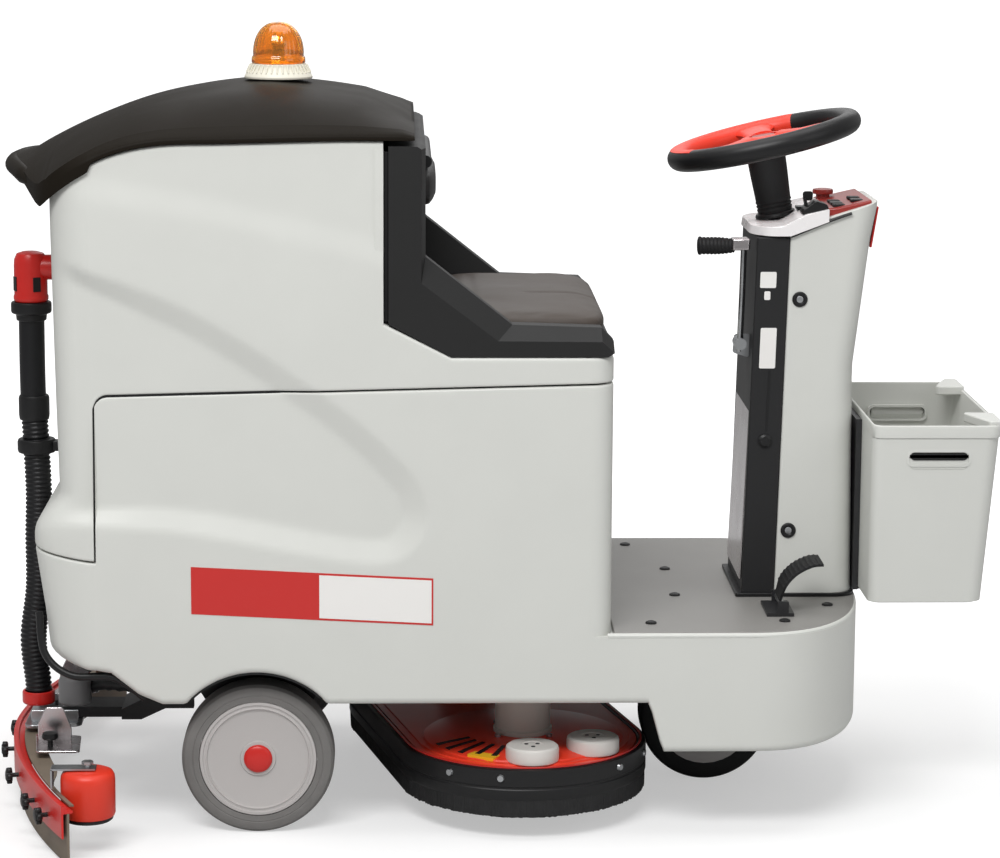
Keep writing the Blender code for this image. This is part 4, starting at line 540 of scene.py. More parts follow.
def tanks():
    """Both tanks' skins, a black strip inside the joint between them as painted shade in its gap, and what shows round
    and under them.
    """
    mid, long = columns("mid"), columns("nose")
    x = mid[:, 0]
    gap = SEAM_GAP / 2
    # dirty water tank and seat base
    low = seam_height(x, gap, SEAM_X - gap)
    high = np.where(x < TOWER_FRONT - 0.0001, tank_rim(x),
                    np.interp(x, [TOWER_FRONT, -0.076], [RAMP_TOP, SEAT_LINE]))
    upper = shell(mid, low, high, 0.003, 0.005)
    front = box_shape(TOWER_FRONT - 0.012, TOWER_FRONT, 0.002 - HALF, HALF - 0.002,
                      RAMP_TOP - 0.02, TANK_TOP - 0.004)
    piece("tank_upper_skin", joined(upper, front), SHELL, "machine", "recovery_tank", angle=38)
    # its inside, seen when the lid is up, in the darker copy of the shell plastic as painted shade
    inner = rounded([(-0.622, -0.308), (TOWER_FRONT - 0.013, -0.308),
                     (TOWER_FRONT - 0.013, 0.308), (-0.622, 0.308)], 0.04)
    wall = 0.003
    rings = []
    for inset, level in ((0, 0.7), (0, 0.9), (wall, 0.9), (wall, 0.708)):
        rings.append([(px + (inset if px < -0.4 else -inset), py * (1 - inset / 0.3), level)
                      for px, py in inner])
    piece("tank_upper_inside", loft(rings), SHELL_SHADED)
    # clean water tank: the band below the seam, and the band round the nose
    high = seam_height(x, -gap, SEAM_X + gap)
    waist = shell(mid, np.full(len(mid), FLOOR), high, 0, 0.003)
    skirt_low = np.where(long[:, 0] < REAR + 0.06, 0.25, skirt_edge(long[:, 0]))
    skirt = shell(long, skirt_low, np.full(len(long), FLOOR), 0.01, 0)
    piece("tank_lower_skin", waist, SHELL, "machine", "solution_tank", angle=38)
    piece("tank_skirt", skirt, SHELL, angle=38)
    # a black strip set back inside the joint's gap: painted shade in the gap
    rings = []
    for (px, y, nx, ny), z in zip(mid, seam_height(x, 0.0, SEAM_X)):
        away = abs(px - SEAM_X)
        low, high = (z - 0.01, z + 0.01) if away > 0.004 else (SEAM_LOW - 0.01, SEAM + 0.005)
        levels = np.linspace(low, high, 9) if away > 0.03 else np.linspace(SEAM_LOW, SEAM, 40)
        sunk = float(relief(np.full(len(levels), px), levels).max()) * ny * ny * (px < SIDE_END)
        out, back = max(sunk + 0.0015, 0.009), max(sunk + 0.004, 0.013)
        shift = float(rear_shift(z) * smooth((SEAM_X - 0.004 - px) / 0.05))
        rings.append([(px - nx * d + shift, y - ny * d, t)
                      for d, t in ((out, low), (out, high), (back, high), (back, low))])
    piece("tank_joint_shade_strip", wrapped(rings), BLACK)
    nose_deck()
    arches()


def nose_deck():
    """The moulded floor under the foot plate and the tray under the tanks; the rounded border round the platform is
    made with the tread plate.
    """
    half = [(px, py) for px, py in half_plan("nose") if px > SIDE_END - 0.001]
    outline = [(px, py * 0.985) for px, py in half] + [(px, -py * 0.985) for px, py in half[-2::-1]]
    outline = [(min(px, NOSE_FRONT - 0.008), py) for px, py in outline]
    piece("platform_floor", slab(outline, FLOOR - 0.012, FLOOR - 0.0006, "z"), SHELL, angle=30)
    # the tray under the tanks takes the darker shell copy: painted shade under the body
    tray = slab([(-0.6, -0.235), (0.205, -0.235), (0.205, 0.235), (-0.6, 0.235)], 0.238, 0.246, "z")
    piece("tank_underside", tray, SHELL_SHADED, bevel=0.003)


def arches():
    """Black liners over the rear wheels."""
    turn = np.linspace(math.radians(-42), math.radians(222), 40)
    radius, low = 0.1335, 0.2
    arc = [(radius * math.cos(a), radius * math.sin(a)) for a in turn]
    arc = [(a, b) for a, b in arc if REAR_RADIUS + b > low]
    for side, sign in SIDES:
        inner, outer = ([[(REAR_AXLE + a * grow, sign * y, REAR_RADIUS + b * grow) for a, b in arc]
                         for y in (HALF - 0.004, 0.238)] for grow in (1, 1.02))
        loops = list(zip(inner[0], outer[0], outer[1], inner[1]))
        piece(f"arch_liner_{side}", loft(loops), BLACK)
        wall = [(px, pz) for px, _, pz in outer[1]]
        wall = [(wall[0][0] - 0.02, 0.176), *wall, (wall[-1][0] + 0.02, 0.176)]
        piece(f"arch_wall_{side}", slab(wall, sign * 0.236, sign * 0.23), BLACK)


LABEL_REAR, LABEL_SLOPE = -0.447, 0.05


def stickers():
    """Blank coloured panels on both sides, and the small knobs and screws on the body."""
    def panel(x0, x1, grow):
        low, high = 0.335 - grow + LABEL_SLOPE * LABEL_REAR, 0.404 + grow + LABEL_SLOPE * LABEL_REAR
        return [(x, z - LABEL_SLOPE * x) for x, z in ((x0, low), (x1, low), (x1, high), (x0, high))]

    for side, sign in SIDES:
        red = slab(panel(LABEL_REAR, -0.101, 0), sign * (HALF - 0.0005), sign * (HALF + 0.0005))
        piece(f"label_red_{side}", red, LABEL_RED)
        white = slab(panel(-0.264, -0.1035, -0.003), sign * (HALF + 0.0004), sign * (HALF + 0.0009))
        piece(f"label_white_{side}", white, STICKER)
    for k, z in enumerate((0.648, 0.505)):
        knob = turned([(0, 0.0), (0.008, 0.0), (0.0085, 0.002), (0.0085, 0.006), (0.006, 0.0085), (0, 0.009)],
                      (BASE_FRONT - 0.0005, 0, z), "x", 20)
        piece(f"base_knob_{k + 1}", knob, BLACK)
    for side, sign in SIDES:
        screw = turned([(0, 0.0), (0.006, 0.0), (0.006, 0.002), (0.003, 0.003), (0.003, 0.0015), (0, 0.0015)],
                       (-0.61, sign * 0.3195, 0.392), "y", 18, sign)
        piece(f"body_screw_{side}", screw, BLACK)


# ---------------------------------------------------------------- lid and beacon

LID_PLAN = through([(-0.7265, 0.02), (-0.7232, 0.066), (-0.7148, 0.108), (-0.7022, 0.155), (-0.6862, 0.206),
                    (-0.6725, 0.25), (-0.6605, 0.284), (-0.6465, 0.306), (-0.627, 0.3205), (-0.604, 0.328),
                    (-0.58, 0.33)], 80)


def lid_half(x):
    """Half of the lid's width at a station."""
    return float(np.interp(x, LID_PLAN[:, 0], LID_PLAN[:, 1]))


def lid_crown(x):
    """Height of the lid's middle line at a station."""
    t = (x + 0.728) / 0.6
    trim = np.interp(x, [-0.728, -0.712, -0.694, -0.676, -0.655, -0.618, -0.582, -0.528, -0.456, -0.383, -0.34,
                         -0.29, -0.256, -0.202, -0.148, -0.127],
                     [0.001, 0.0133, 0.02, 0.0192, 0.0186, 0.0172, 0.0157, 0.0125, 0.0085, 0.0029, 0.0004,
                      0, -0.0005, -0.0016, 0.0062, 0.0125])
    return 0.965 + 0.1125 * math.sin(math.pi * min(max(t, 0), 1) ** 0.85 * 0.78) ** 0.9 - float(trim)


def lid_foot(x):
    """Height of the lid's lower edge: it sits on the rim, hangs over it behind a step, and sweeps up at the tail."""
    tail = np.interp(x, [-0.728, -0.716, -0.704, -0.694, -0.684, -0.674, -0.664, -0.657],
                     [0.955, 0.952, 0.948, 0.943, 0.9365, 0.9285, 0.9205, 0.916])
    if x < -0.657:
        return float(tail)
    hang = 0.011 * float(smooth((-0.578 - x) / 0.008))
    return max(float(tank_rim(np.array(x))) + 0.0007 - hang, 0.916)


def lid_section(x):
    """Half of the lid's cross-section at a station, from the lower edge to the crown, as (y, z)."""
    half, foot, crown = lid_half(x), lid_foot(x), lid_crown(x)
    half += 0.0022 * float(smooth((-0.57 - x) / 0.02))
    rim = float(tank_rim(np.array(max(x, REAR))))
    base = foot + max(rim - foot, 0) * float(smooth((x + 0.68) / 0.045))
    room = crown - base
    lip = min(0.009, room * 0.35)
    side = [(half, foot), (half, base + lip * 0.5), (half - 0.0015, base + lip)]
    ledge = 0.02 * float(smooth((x + 0.64) / 0.1)) + 0.003
    rise = min(0.013, room * 0.2)
    side += [(half - ledge * 0.5, base + lip + rise * 0.5), (half - ledge, base + lip + rise)]
    width, start = half - ledge, base + lip + rise
    power = 2.9 - 0.8 * float(smooth((-0.5 - x) / 0.14))
    for s in np.linspace(0.985, 0, 26):
        reach = math.sin(s * math.pi / 2)
        side.append((width * reach, start + (crown - start) * (1 - reach ** power)))
    return side


def lid():
    """Shell, tail lip and hinge eyes."""
    stations = sorted({*np.round(np.linspace(-0.7262, -0.64, 50), 4), *np.round(np.linspace(-0.636, -0.128, 90), 4),
                       -0.5845, -0.5805})
    rings = []
    for x in stations:
        half = lid_section(x)
        fill = float(smooth((-0.64 - x) / 0.012))
        outer = [(x, -y, z) for y, z in half] + [(x, y, z) for y, z in half[-2::-1]]
        under = []
        for y, z in half:
            inset = max(y - 0.006, 0.0) if y > 0.01 else 0.0
            hollow = max(z - 0.005, half[0][1])
            under.append((inset, hollow + (half[0][1] - hollow) * fill))
        inner = [(x, y, z) for y, z in under] + [(x, -y, z) for y, z in under[-2::-1]]
        rings.append(outer + inner)
    piece("lid_shell", loft(rings), LID, "lid", "tank_lid", bevel=0.0015, angle=62)
    edge = [(x + 0.0045, y, 0.9545 - 0.02 * (y / 0.25) ** 4) for x, y in LID_PLAN if x < -0.68]
    count = 60
    line = through([(x, -y, z) for x, y, z in edge[::-1][::4]] + [(-0.7228, 0, 0.9545)] + edge[::4], count)
    grip = tube(line, [0.0125 * min(1, 0.35 + min(k, count - 1 - k) / 9) for k in range(count)])
    piece("lid_lip", grip, LID, "lid")
    for k, y in enumerate((-0.104, 0.104)):
        ear = turned([(0.0033, -0.009), (0.008, -0.009), (0.008, 0.009), (0.0033, 0.009)],
                     (-0.1375, y, 1.0155), "y", 24)
        piece(f"lid_hinge_eye_{k + 1}", ear, BLACK, "lid", bevel=0.001)


def beacon():
    """Foot with grip ribs, ribbed lens and the lamp in it."""
    x = -0.33
    base = turned([(0, 1.078), (0.0505, 1.078), (0.051, 1.081), (0.0478, 1.087), (0.0445, 1.091), (0.0425, 1.096),
                   (0.0425, 1.0998), (0, 1.0998)], (x, 0, 0), "z", 72)
    shapes = [base]
    for k in range(36):
        foot, top = (polar(k * math.tau / 36, r) for r in (0.0482, 0.0425))
        shapes.append(tube([(x + foot.x, foot.y, 1.0865), (x + top.x, top.y, 1.0985)], 0.0014, 6))
    piece("beacon_foot", joined(*shapes), CREAM, "lid", "beacon_base", bevel=0.0006)
    dome = [(0.0375 * math.cos(a) ** 0.85, 1.116 + 0.0455 * math.sin(a)) for a in np.linspace(0, math.pi / 2, 16)]
    outer = [(0.0392, 1.1003), (0.0402, 1.102), (0.04, 1.1085), (0.0388, 1.1105), (0.0378, 1.112), *dome]
    inner = [(max(r - 0.0024, 0), z - 0.0022) for r, z in outer[::-1]]
    inner[-1] = (0.0368, 1.1003)
    points, faces = turned(outer + inner[1:], (0, 0, 0), "z", 96)
    ribbed = []
    for px, py, pz in points:
        a = math.atan2(py, px)
        grow = 1 + (0.012 * math.cos(24 * a) if 1.112 < pz < 1.154 else 0)
        ribbed.append((x + px * grow, py * grow, pz))
    piece("beacon_dome", (ribbed, faces), AMBER, "lid", "beacon_lens", angle=60)
    lamp = turned([(0, 1.1), (0.026, 1.1), (0.022, 1.106), (0.01, 1.108), (0.01, 1.126), (0.012, 1.13),
                   (0.0105, 1.14), (0.006, 1.1455), (0, 1.147)], (x, 0, 0), "z", 32)
    piece("beacon_lamp", lamp, CHROME, "lid")


# ---------------------------------------------------------------- seat

def seat_shell():
    """Shell with sloping side bolsters: sections across the machine, from one side to the other."""
    base = [(-0.165, 0.753), (-0.0765, 0.7068), (0.147, 0.7068), (0.155, 0.712)]

    def outline(drop, ease):
        """The side view. drop lowers the sloping crest, ease brings the back's front edge in."""
        return [*base, (0.1558, 0.726 - drop * 0.4), (0.138, 0.745 - drop * 0.48),
                (0.011 - drop * 0.6, 0.749 - drop * 0.56), (BACK_FRONT - ease, BOLSTER_TOP - drop),
                (BACK_FRONT - ease, BACK_TOP - 0.004), (BACK_FRONT - 0.006 - ease, BACK_TOP), (-0.165, BACK_TOP)]

    # the side view through the pan, where the cushion lies
    pan = [*base, (0.1558, 0.718), (0.144, 0.7235), (0.011, 0.7235), (BACK_FRONT, 0.7235),
           (BACK_FRONT, BACK_TOP - 0.004), (BACK_FRONT - 0.006, BACK_TOP), (-0.165, BACK_TOP)]
    right = [(-SHELL_HALF, outline(0.0345, 0.006)), (-SHELL_HALF + 0.03, outline(0, 0)),
             (-PAN_HALF - 0.006, outline(0.0005, 0)), (-PAN_HALF, pan)]
    sections = [*right, (0, pan), *((-y, points) for y, points in right[::-1])]
    rings = [[(px, y, pz) for px, pz in points] for y, points in sections]
    piece("seat_frame", loft(rings), SEAT_SHELL, "machine", "seat_shell", bevel=0.006, segments=4,
          angle=20)
    # A black block in the gap between the tank's front and the seat's back: painted shade in that gap.
    gap_shade = box_shape(-0.1715, -0.1652, -0.322, 0.322, 0.756, 0.996)
    piece("seat_gap_shade", gap_shade, RUBBER, bevel=0.001)
    strip = tube(through([(-0.112, y, 0.9695) for y in (-0.18, -0.1, 0, 0.1, 0.18)], 20), 0.0095)
    piece("backrest_trim", strip, BLACK)


def pillow(x0, x1, y0, y1, z0, z1, shape):
    """A block as a fine grid, where shape(u) moves each point u of the cube from -1 to 1."""
    made = bmesh.new()
    bmesh.ops.create_cube(made, size=2)
    bmesh.ops.subdivide_edges(made, edges=made.edges, cuts=23, use_grid_fill=True)
    centre = Vector(((x0 + x1) / 2, (y0 + y1) / 2, (z0 + z1) / 2))
    half = Vector(((x1 - x0) / 2, (y1 - y0) / 2, (z1 - z0) / 2))
    made.verts.index_update()
    for v in made.verts:
        v.co = centre + Vector(a * b for a, b in zip(shape(Vector(v.co)), half))
    points = [tuple(v.co) for v in made.verts]
    faces = [tuple(v.index for v in f.verts) for f in made.faces]
    made.free()
    return points, faces


def round_box(u, power):
    """Maps a cube to a superquadric, so that its edges and corners are round."""
    size = sum(abs(c) ** power for c in u) ** (1 / power)
    largest = max(abs(c) for c in u)
    return Vector(c * largest / size for c in u)


def inflate(obj, cap):
    """Puffs a pad up with a short cloth simulation and keeps the result in its mesh. cap is the furthest move."""
    voxel, pressure = 0.006, 4.0
    scene = bpy.context.scene
    twin = obj.copy()
    twin.data = obj.data.copy()
    twin.parent = None
    scene.collection.objects.link(twin)
    remesh = twin.modifiers.new("voxels", "REMESH")
    remesh.mode, remesh.voxel_size = "VOXEL", voxel
    graph = bpy.context.evaluated_depsgraph_get()
    mesh = bpy.data.meshes.new_from_object(twin.evaluated_get(graph))
    twin.modifiers.clear()
    twin.data = mesh
    before = np.zeros(len(mesh.vertices) * 3, np.float32)
    mesh.vertices.foreach_get("co", before)
    cloth = twin.modifiers.new("cloth", "CLOTH")
    cloth.settings.use_pressure = True
    cloth.settings.uniform_pressure_force = pressure
    cloth.settings.effector_weights.gravity = 0
    cloth.settings.quality = 5
    for step in range(1, 21):
        scene.frame_set(step)
    graph = bpy.context.evaluated_depsgraph_get()
    after = np.zeros_like(before)
    twin.evaluated_get(graph).data.vertices.foreach_get("co", after)
    scene.frame_set(1)
    before, after = before.reshape(-1, 3), after.reshape(-1, 3)
    move = after - before
    far = np.linalg.norm(move, axis=1, keepdims=True)
    move *= np.minimum(1, cap / np.maximum(far, 1e-9))
    twin.modifiers.clear()
    mesh.vertices.foreach_set("co", (before + move).ravel())
    mats = list(obj.data.materials)
    obj.data = mesh
    mesh.materials.clear()
    for m in mats:
        mesh.materials.append(m)
    mesh.shade_smooth()
    bpy.data.objects.remove(twin)


def crease(obj, limit, centre, width, depth, axis, start, end):
    """A sewn channel pressed into the top of a pad, above the height limit, along one axis."""
    other = 1 - axis
    for v in obj.data.vertices:
        if v.co.z < limit:
            continue
        t = smooth((v.co[axis] - start) / 0.02) * smooth((end - v.co[axis]) / 0.02)
        v.co.z -= depth * t * math.exp(-((v.co[other] - centre) / width) ** 2)


def cushions():
    """Seat cushion with its sewn channels, and the back pad."""
    def seat_form(u):
        p = round_box(u, 7.0)
        pull = 1 - 0.012 * (1 - abs(u.x)) * (abs(u.y) > 0.99)
        crown = 0.1 * (1 - u.x ** 2) * (1 - u.y ** 2) if u.z > 0 else 0
        nose = 0.95 * float(smooth((u.x - 0.45) / 0.55)) ** 1.6 * (u.z > 0)
        wings = 0.34 * float(smooth((abs(u.y) - 0.55) / 0.4)) * (u.z > 0)
        return Vector((p.x, p.y * pull, p.z * (1 - 0.15 * nose) + crown - 0.1 + wings * 0.25))
    shape = pillow(-0.0935, 0.154, -0.258, 0.258, 0.7247, 0.7545, seat_form)
    seat = piece("seat_pad", shape, VINYL, "machine", "seat_cushion", angle=80)
    inflate(seat, 0.004)
    crease(seat, 0.735, -0.01, 0.006, 0.0035, 0, 0.03 + SHIFT, 0.19)
    crease(seat, 0.735, SHIFT - 0.04, 0.005, 0.0025, 1, -0.22, 0.22)
    soft = seat.modifiers.new("soft", "SUBSURF")
    soft.levels = soft.render_levels = 1

    shape = pillow(-0.1372, -0.0985, -0.188, 0.188, 0.9, 0.96, lambda u: round_box(u, 4.0))
    back = piece("backrest_cushion", shape, VINYL_DARK, "machine", "backrest_pad", angle=80)
    inflate(back, 0.003)


# ---------------------------------------------------------------- column

def column():
    """Light front shell, dark rear cover with its blank tags, and the fittings on both."""
    def edges(z):
        """Stations of the light shell's rear and front at a height."""
        back = 0.4165 + (0.4305 - 0.4165) * (z - COLUMN_FOOT) / (0.856 - COLUMN_FOOT)
        front = np.interp(z, [0.306, 0.654, 0.85, 0.899], [0.5365, 0.531, 0.5535, 0.563])
        return back, float(front)

    def top(x):
        return float(np.interp(x, [0.43, 0.487, 0.5, 0.552, 0.563], [0.8635, 0.881, 0.887, 0.9035, 0.906]))

    rings = []
    for t in [0, 0.003, *np.linspace(0.02, 0.985, 26), 1.0]:
        ring = []
        for sx, sy, turn in ((-1, -1, math.pi), (1, -1, -math.pi / 2), (1, 1, 0.0), (-1, 1, math.pi / 2)):
            radius = 0.004 if sx < 0 else 0.034

            def station(z, angle):
                back, front = edges(z)
                return (back + radius if sx < 0 else front - radius) + radius * math.cos(angle)
            for angle in np.linspace(turn, turn + math.pi / 2, 9):
                z = COLUMN_FOOT + t * (top(station(COLUMN_FOOT + t * 0.56, angle)) - COLUMN_FOOT)
                ring.append((station(z, angle), sy * (COLUMN_HALF - radius) + radius * math.sin(angle), z))
        rings.append(ring)
    piece("column_shell", loft(rings), SHELL, "machine", "column_body", bevel=0.002, angle=40)
    cover = slab(rounded([(0.367, 0.3063), (0.416, 0.3063), (0.43, 0.8515), (0.381, 0.8515)], 0.002),
                 -COLUMN_HALF, COLUMN_HALF)
    piece("column_rear_cover", cover, COVER, "machine", "column_cover", bevel=0.005, angle=50)
    tags = ((0.776, 0.8, 0.374, 0.398), (0.758, 0.771, 0.381, 0.39), (0.655, 0.716, 0.378, 0.402))
    washer = [(0.0052, 0), (0.0115, 0), (0.0115, 0.002), (0.0098, 0.0035), (0.007, 0.0035), (0.0052, 0.002)]
    screw = [(0, 0), (0.005, 0), (0.005, 0.0022), (0.0036, 0.0028), (0, 0.0028)]
    for side, sign in SIDES:
        skin = sign * (COLUMN_HALF + 0.0004)
        for k, (low, high, near, far) in enumerate(tags):
            tag = [(x + (z - 0.306) * 0.0257, z) for x, z in ((near, low), (far, low), (far, high), (near, high))]
            tag = slab(rounded(tag, 0.002), sign * (COLUMN_HALF - 0.001), skin)
            piece(f"column_tag_{side}_{k + 1}", tag, STICKER)
        slot = [(0.398, 0.56), (0.402, 0.56), (0.405, 0.652), (0.401, 0.652)]
        piece(f"column_slot_{side}", slab(rounded(slot, 0.001), sign * 0.098, skin), BLACK)
        latch = turned([(0, 0), (0.01, 0), (0.01, 0.004), (0.007, 0.006), (0, 0.006)],
                       (0.398, sign * (COLUMN_HALF - 0.001), 0.545), "y", 20, sign)
        piece(f"column_latch_{side}", latch, BLACK)
        for k, (px, pz) in enumerate(((0.446, 0.759), (0.436, 0.408))):
            place = (px, sign * (COLUMN_HALF - 0.0004), pz)
            for label, part, steps, mat in (("washer", washer, 32, BLACK), ("screw", screw, 24, STEEL)):
                piece(f"column_{label}_{side}_{k + 1}", turned(part, place, "y", steps, sign), mat)
    panel = [(0.3645, 0.33), (0.3668, 0.33), (0.3803, 0.688), (0.378, 0.688)]
    piece("operator_panel", slab(panel, -0.088, 0.088), SILVER, bevel=0.0006)
    foot = slab(rounded([(0.358, -0.104), (0.5405, -0.104), (0.5405, 0.104), (0.358, 0.104)],
                        [0.004, 0.03, 0.03, 0.004]), 0.3062, 0.3115, "z")
    piece("column_foot_trim", foot, BLACK, bevel=0.001)
    stripe = slab([(0.5545, 0.832), (0.5575, 0.832), (0.5668, 0.893), (0.5638, 0.893)], -0.06, 0.06)
    piece("column_front_stripe", stripe, RED, bevel=0.0008)
    dashboard()


def dashboard():
    """Silver rear half, near white as a painted highlight, with a rounded rear edge, dark red front half, trims, switch
    pod and blank keys.
    """
    straight, corner, rear_most = 0.05, 0.056, 0.373
    widths = [0, 0.03, *(straight + corner * math.sin(a) for a in np.linspace(0, 1.5708, 9))]
    rings = []
    for y in sorted({sign * w for sign in (-1, 1) for w in widths}):
        turn = max(abs(y) - straight, 0) / corner
        inset = 0.04 * (1 - math.sqrt(max(1 - turn * turn, 0)))
        rear = rear_most + inset
        rings.append([(rear, y, 0.8535), (0.43, y, 0.8535), (0.4865, y, 0.875), (0.4865, y, 0.8935),
                      (0.452, y, 0.8855), (0.421, y, 0.8695), (rear + 0.002, y, 0.8662 + inset * 0.025)])
    piece("dashboard_rear", loft(rings), DASH_SILVER_AND_HIGHLIGHT, "machine", "dashboard", bevel=0.0025, angle=24)
    crest = [(0.4868, 0.8935), (0.5, 0.8945), (0.552, 0.9065)]
    front = slab([(0.4868, 0.8752), (0.552, 0.8972), *crest[::-1]], -0.088, 0.088)
    piece("dashboard_front", front, DARK_RED, bevel=0.0025, angle=18)
    for side, sign in SIDES:
        trim = through([(a, sign * 0.1035, b) for a, b in ((0.4305, 0.853), (0.487, 0.8762), (0.52, 0.888))], 20)
        piece(f"dashboard_trim_{side}", tube(trim, 0.0022, 8), BLACK)
    hump = rounded([(0.446, 0.884), (0.488, 0.8925), (0.484, 0.9), (0.468, 0.905), (0.45, 0.892)], 0.004)
    piece("switch_pod", slab(hump, -0.096, -0.06), BLACK, bevel=0.002)
    keys = ((0.505, -0.068), (0.505, -0.04), (0.505, -0.012), (0.533, -0.056), (0.533, -0.022))
    for k, (px, y) in enumerate(keys):
        z = np.interp(px, *zip(*crest))
        key = box_shape(px - 0.009, px + 0.009, y - 0.01, y + 0.01, z - 0.002, z + 0.0028)
        piece(f"fascia_key_{k + 1}", key, BLACK if k % 2 else SEAT_SHELL, bevel=0.0012)


def steering():
    """Rim with its red inlay, spokes, hub and the boot round the shaft."""
    def on_rim(a, b, r, under=1.0):
        """A point round the rim at a, and at b round its tube of radius r, which may be fuller below."""
        wide = RIM_RADIUS + r * math.cos(b)
        return wide * math.cos(a), wide * math.sin(a), r * (under if math.sin(b) < 0 else 1.0) * math.sin(b)

    rings = [[on_rim(k * math.tau / 120, j * math.tau / 24, RIM_TUBE, 1.05) for j in range(24)] for k in range(120)]
    piece("steering_rim_cover", leaned(wrapped(rings), RIM_CENTRE, RIM_LEAN), BLACK, "steering_wheel",
          "steering_rim", angle=60)
    start, end = math.radians(62), math.radians(212)
    cut = np.linspace(math.radians(58), math.radians(214), 14)
    rings = []
    for a in np.linspace(start, end, 64):
        lift = 0.0006 * min(min(a - start, end - a) / 0.05, 1)
        rings.append([on_rim(a, b, r) for r, order in ((RIM_TUBE + lift, cut), (RIM_TUBE - 0.002, cut[::-1]))
                      for b in order])
    piece("steering_inlay", leaned(loft(rings), RIM_CENTRE, RIM_LEAN), BRIGHT_RED, "steering_wheel", angle=60)
    parts = []
    for turn in (90, 210, 330):
        a = math.radians(turn)
        out, across = polar(a), polar(a + math.pi / 2)
        rings = []
        for r, wide, z in ((0.028, 0.022, 0.002), (0.06, 0.0205, 0), (0.095, 0.023, 0.002), (0.1235, 0.036, 0.004)):
            rings.append([out * r + across * (wide * math.cos(b)) + Vector((0, 0, z + 0.0075 * math.sin(b)))
                          for b in np.linspace(0, math.tau, 16, endpoint=False)])
        parts.append(loft(rings))
    piece("steering_spokes", leaned(joined(*parts), RIM_CENTRE, RIM_LEAN), BRIGHT_RED, "steering_wheel",
          "steering_spider", angle=50)
    hub = turned([(0.021, -0.01), (0.034, -0.012), (0.036, -0.006), (0.036, 0.004), (0.033, 0.009), (0.027, 0.0105),
                  (0.0212, 0.0105)])
    piece("steering_hub", leaned(hub), BRIGHT_RED, "steering_wheel", angle=40)
    foot, lean = Vector((0.46966, 0, 0.6)), Vector((-0.1805, 0, 0.9836))

    def at(z):
        """The point on the steering shaft's line at a height."""
        return foot + lean * ((z - foot.z) / lean.z)

    count = 34
    path = [at(z) for z in np.linspace(0.8745, 0.964, count)]
    swell = [0.0275 - 0.0015 * math.cos(k / (count - 1) * math.pi)
             + (0.0009 * math.cos(k * math.pi) if 3 < k < 9 else 0) for k in range(count)]
    swell[0] += 0.001
    piece("steering_gaiter", tube(path, swell, 40), RUBBER, "machine", "steering_boot", angle=50)
    collar = tube([at(0.8735), at(0.877), at(0.88)], [0.031, 0.0306, 0.0285], 40)
    piece("gaiter_collar", collar, BLACK, bevel=0.001)


def middle_of(node):
    """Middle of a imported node's box, as a station, a width and a height."""
    low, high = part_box(node)
    return (low + high) / 2 - Vector((SHIFT, 0, 0))


def lever():
    """Squeegee lift lever: two chrome rods, a silver bracket, the ribbed grip and its pivot."""
    bottom, top = 0.69, 0.838
    rods = [tube(through([(0.358 + lean, y, bottom - 0.012), (0.3605 + lean, y, 0.76), (0.362 + lean, y, top)], 14),
                 0.0036, 14) for y, lean in ((-0.082, 0), (-0.066, 0.004))]
    piece("lever_rods", joined(*rods), CHROME, "squeegee_lever", "lift_lever")
    clip = box_shape(0.345, 0.372, -0.088, -0.06, top - 0.008, top + 0.01)
    piece("lever_clip", clip, SILVER, "squeegee_lever", bevel=0.003)
    foot = turned([(0, -0.092), (0.009, -0.092), (0.009, -0.086), (0.0045, -0.085), (0.0045, -0.062), (0.009, -0.061),
                   (0.009, -0.056), (0, -0.056)], (0.36, 0, bottom), "y", 24)
    piece("lever_pivot", foot, STEEL, "squeegee_lever")
    ear = slab(rounded([(0.352, 0.672), (0.3775, 0.664), (0.3785, 0.7), (0.354, 0.7)], 0.004), -0.0545, -0.0515)
    piece("lever_bracket", ear, STEEL)
    grip = middle_of("lever_grip")
    profile = [(0, 0.35), (0.0085, 0.35)]
    for k in range(28):
        t = k / 27
        swell = 0.0105 + 0.0022 * math.sin(math.pi * min(t * 1.1, 1)) + 0.0035 * t ** 3
        profile.append((swell - (0.001 if k % 3 == 1 else 0), 0.3485 - t * 0.051))
    profile += [(0.0128, 0.2955), (0.0085, 0.2942), (0, 0.294)]
    piece("lever_handle", turned(profile, (0, grip.y, grip.z), "x", 32), RUBBER, "squeegee_lever", "lever_grip",
          angle=45)


def small_controls():
    """The key gets a bow and the stop button a cap. The rocker and the horn button show as packed."""
    key, top = middle_of("key_switch"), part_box("key_switch")[1].z
    bow = rounded([(key.x - 0.007, top - 0.004), (key.x + 0.007, top - 0.004), (key.x + 0.008, top + 0.01),
                   (key.x - 0.008, top + 0.01)], 0.004)
    piece("key_bow", slab(bow, key.y - 0.0012, key.y + 0.0012), BLACK, "key", bevel=0.0005)
    low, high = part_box("emergency_button")
    stop, tall = middle_of("emergency_button"), min(high.z - low.z, 0.017)
    cap = turned([(0, 0.0004), (0.0105, 0.0004), (0.0105, tall - 0.009), (0.0152, tall - 0.008),
                  (0.016, tall - 0.004), (0.015, tall - 0.001), (0.01, tall), (0, tall)], (stop.x, stop.y, low.z), "z", 36)
    piece("stop_cap", cap, DARK_RED, "emergency_stop", "emergency_button", angle=35)


# ---------------------------------------------------------------- platform, pedal, bin

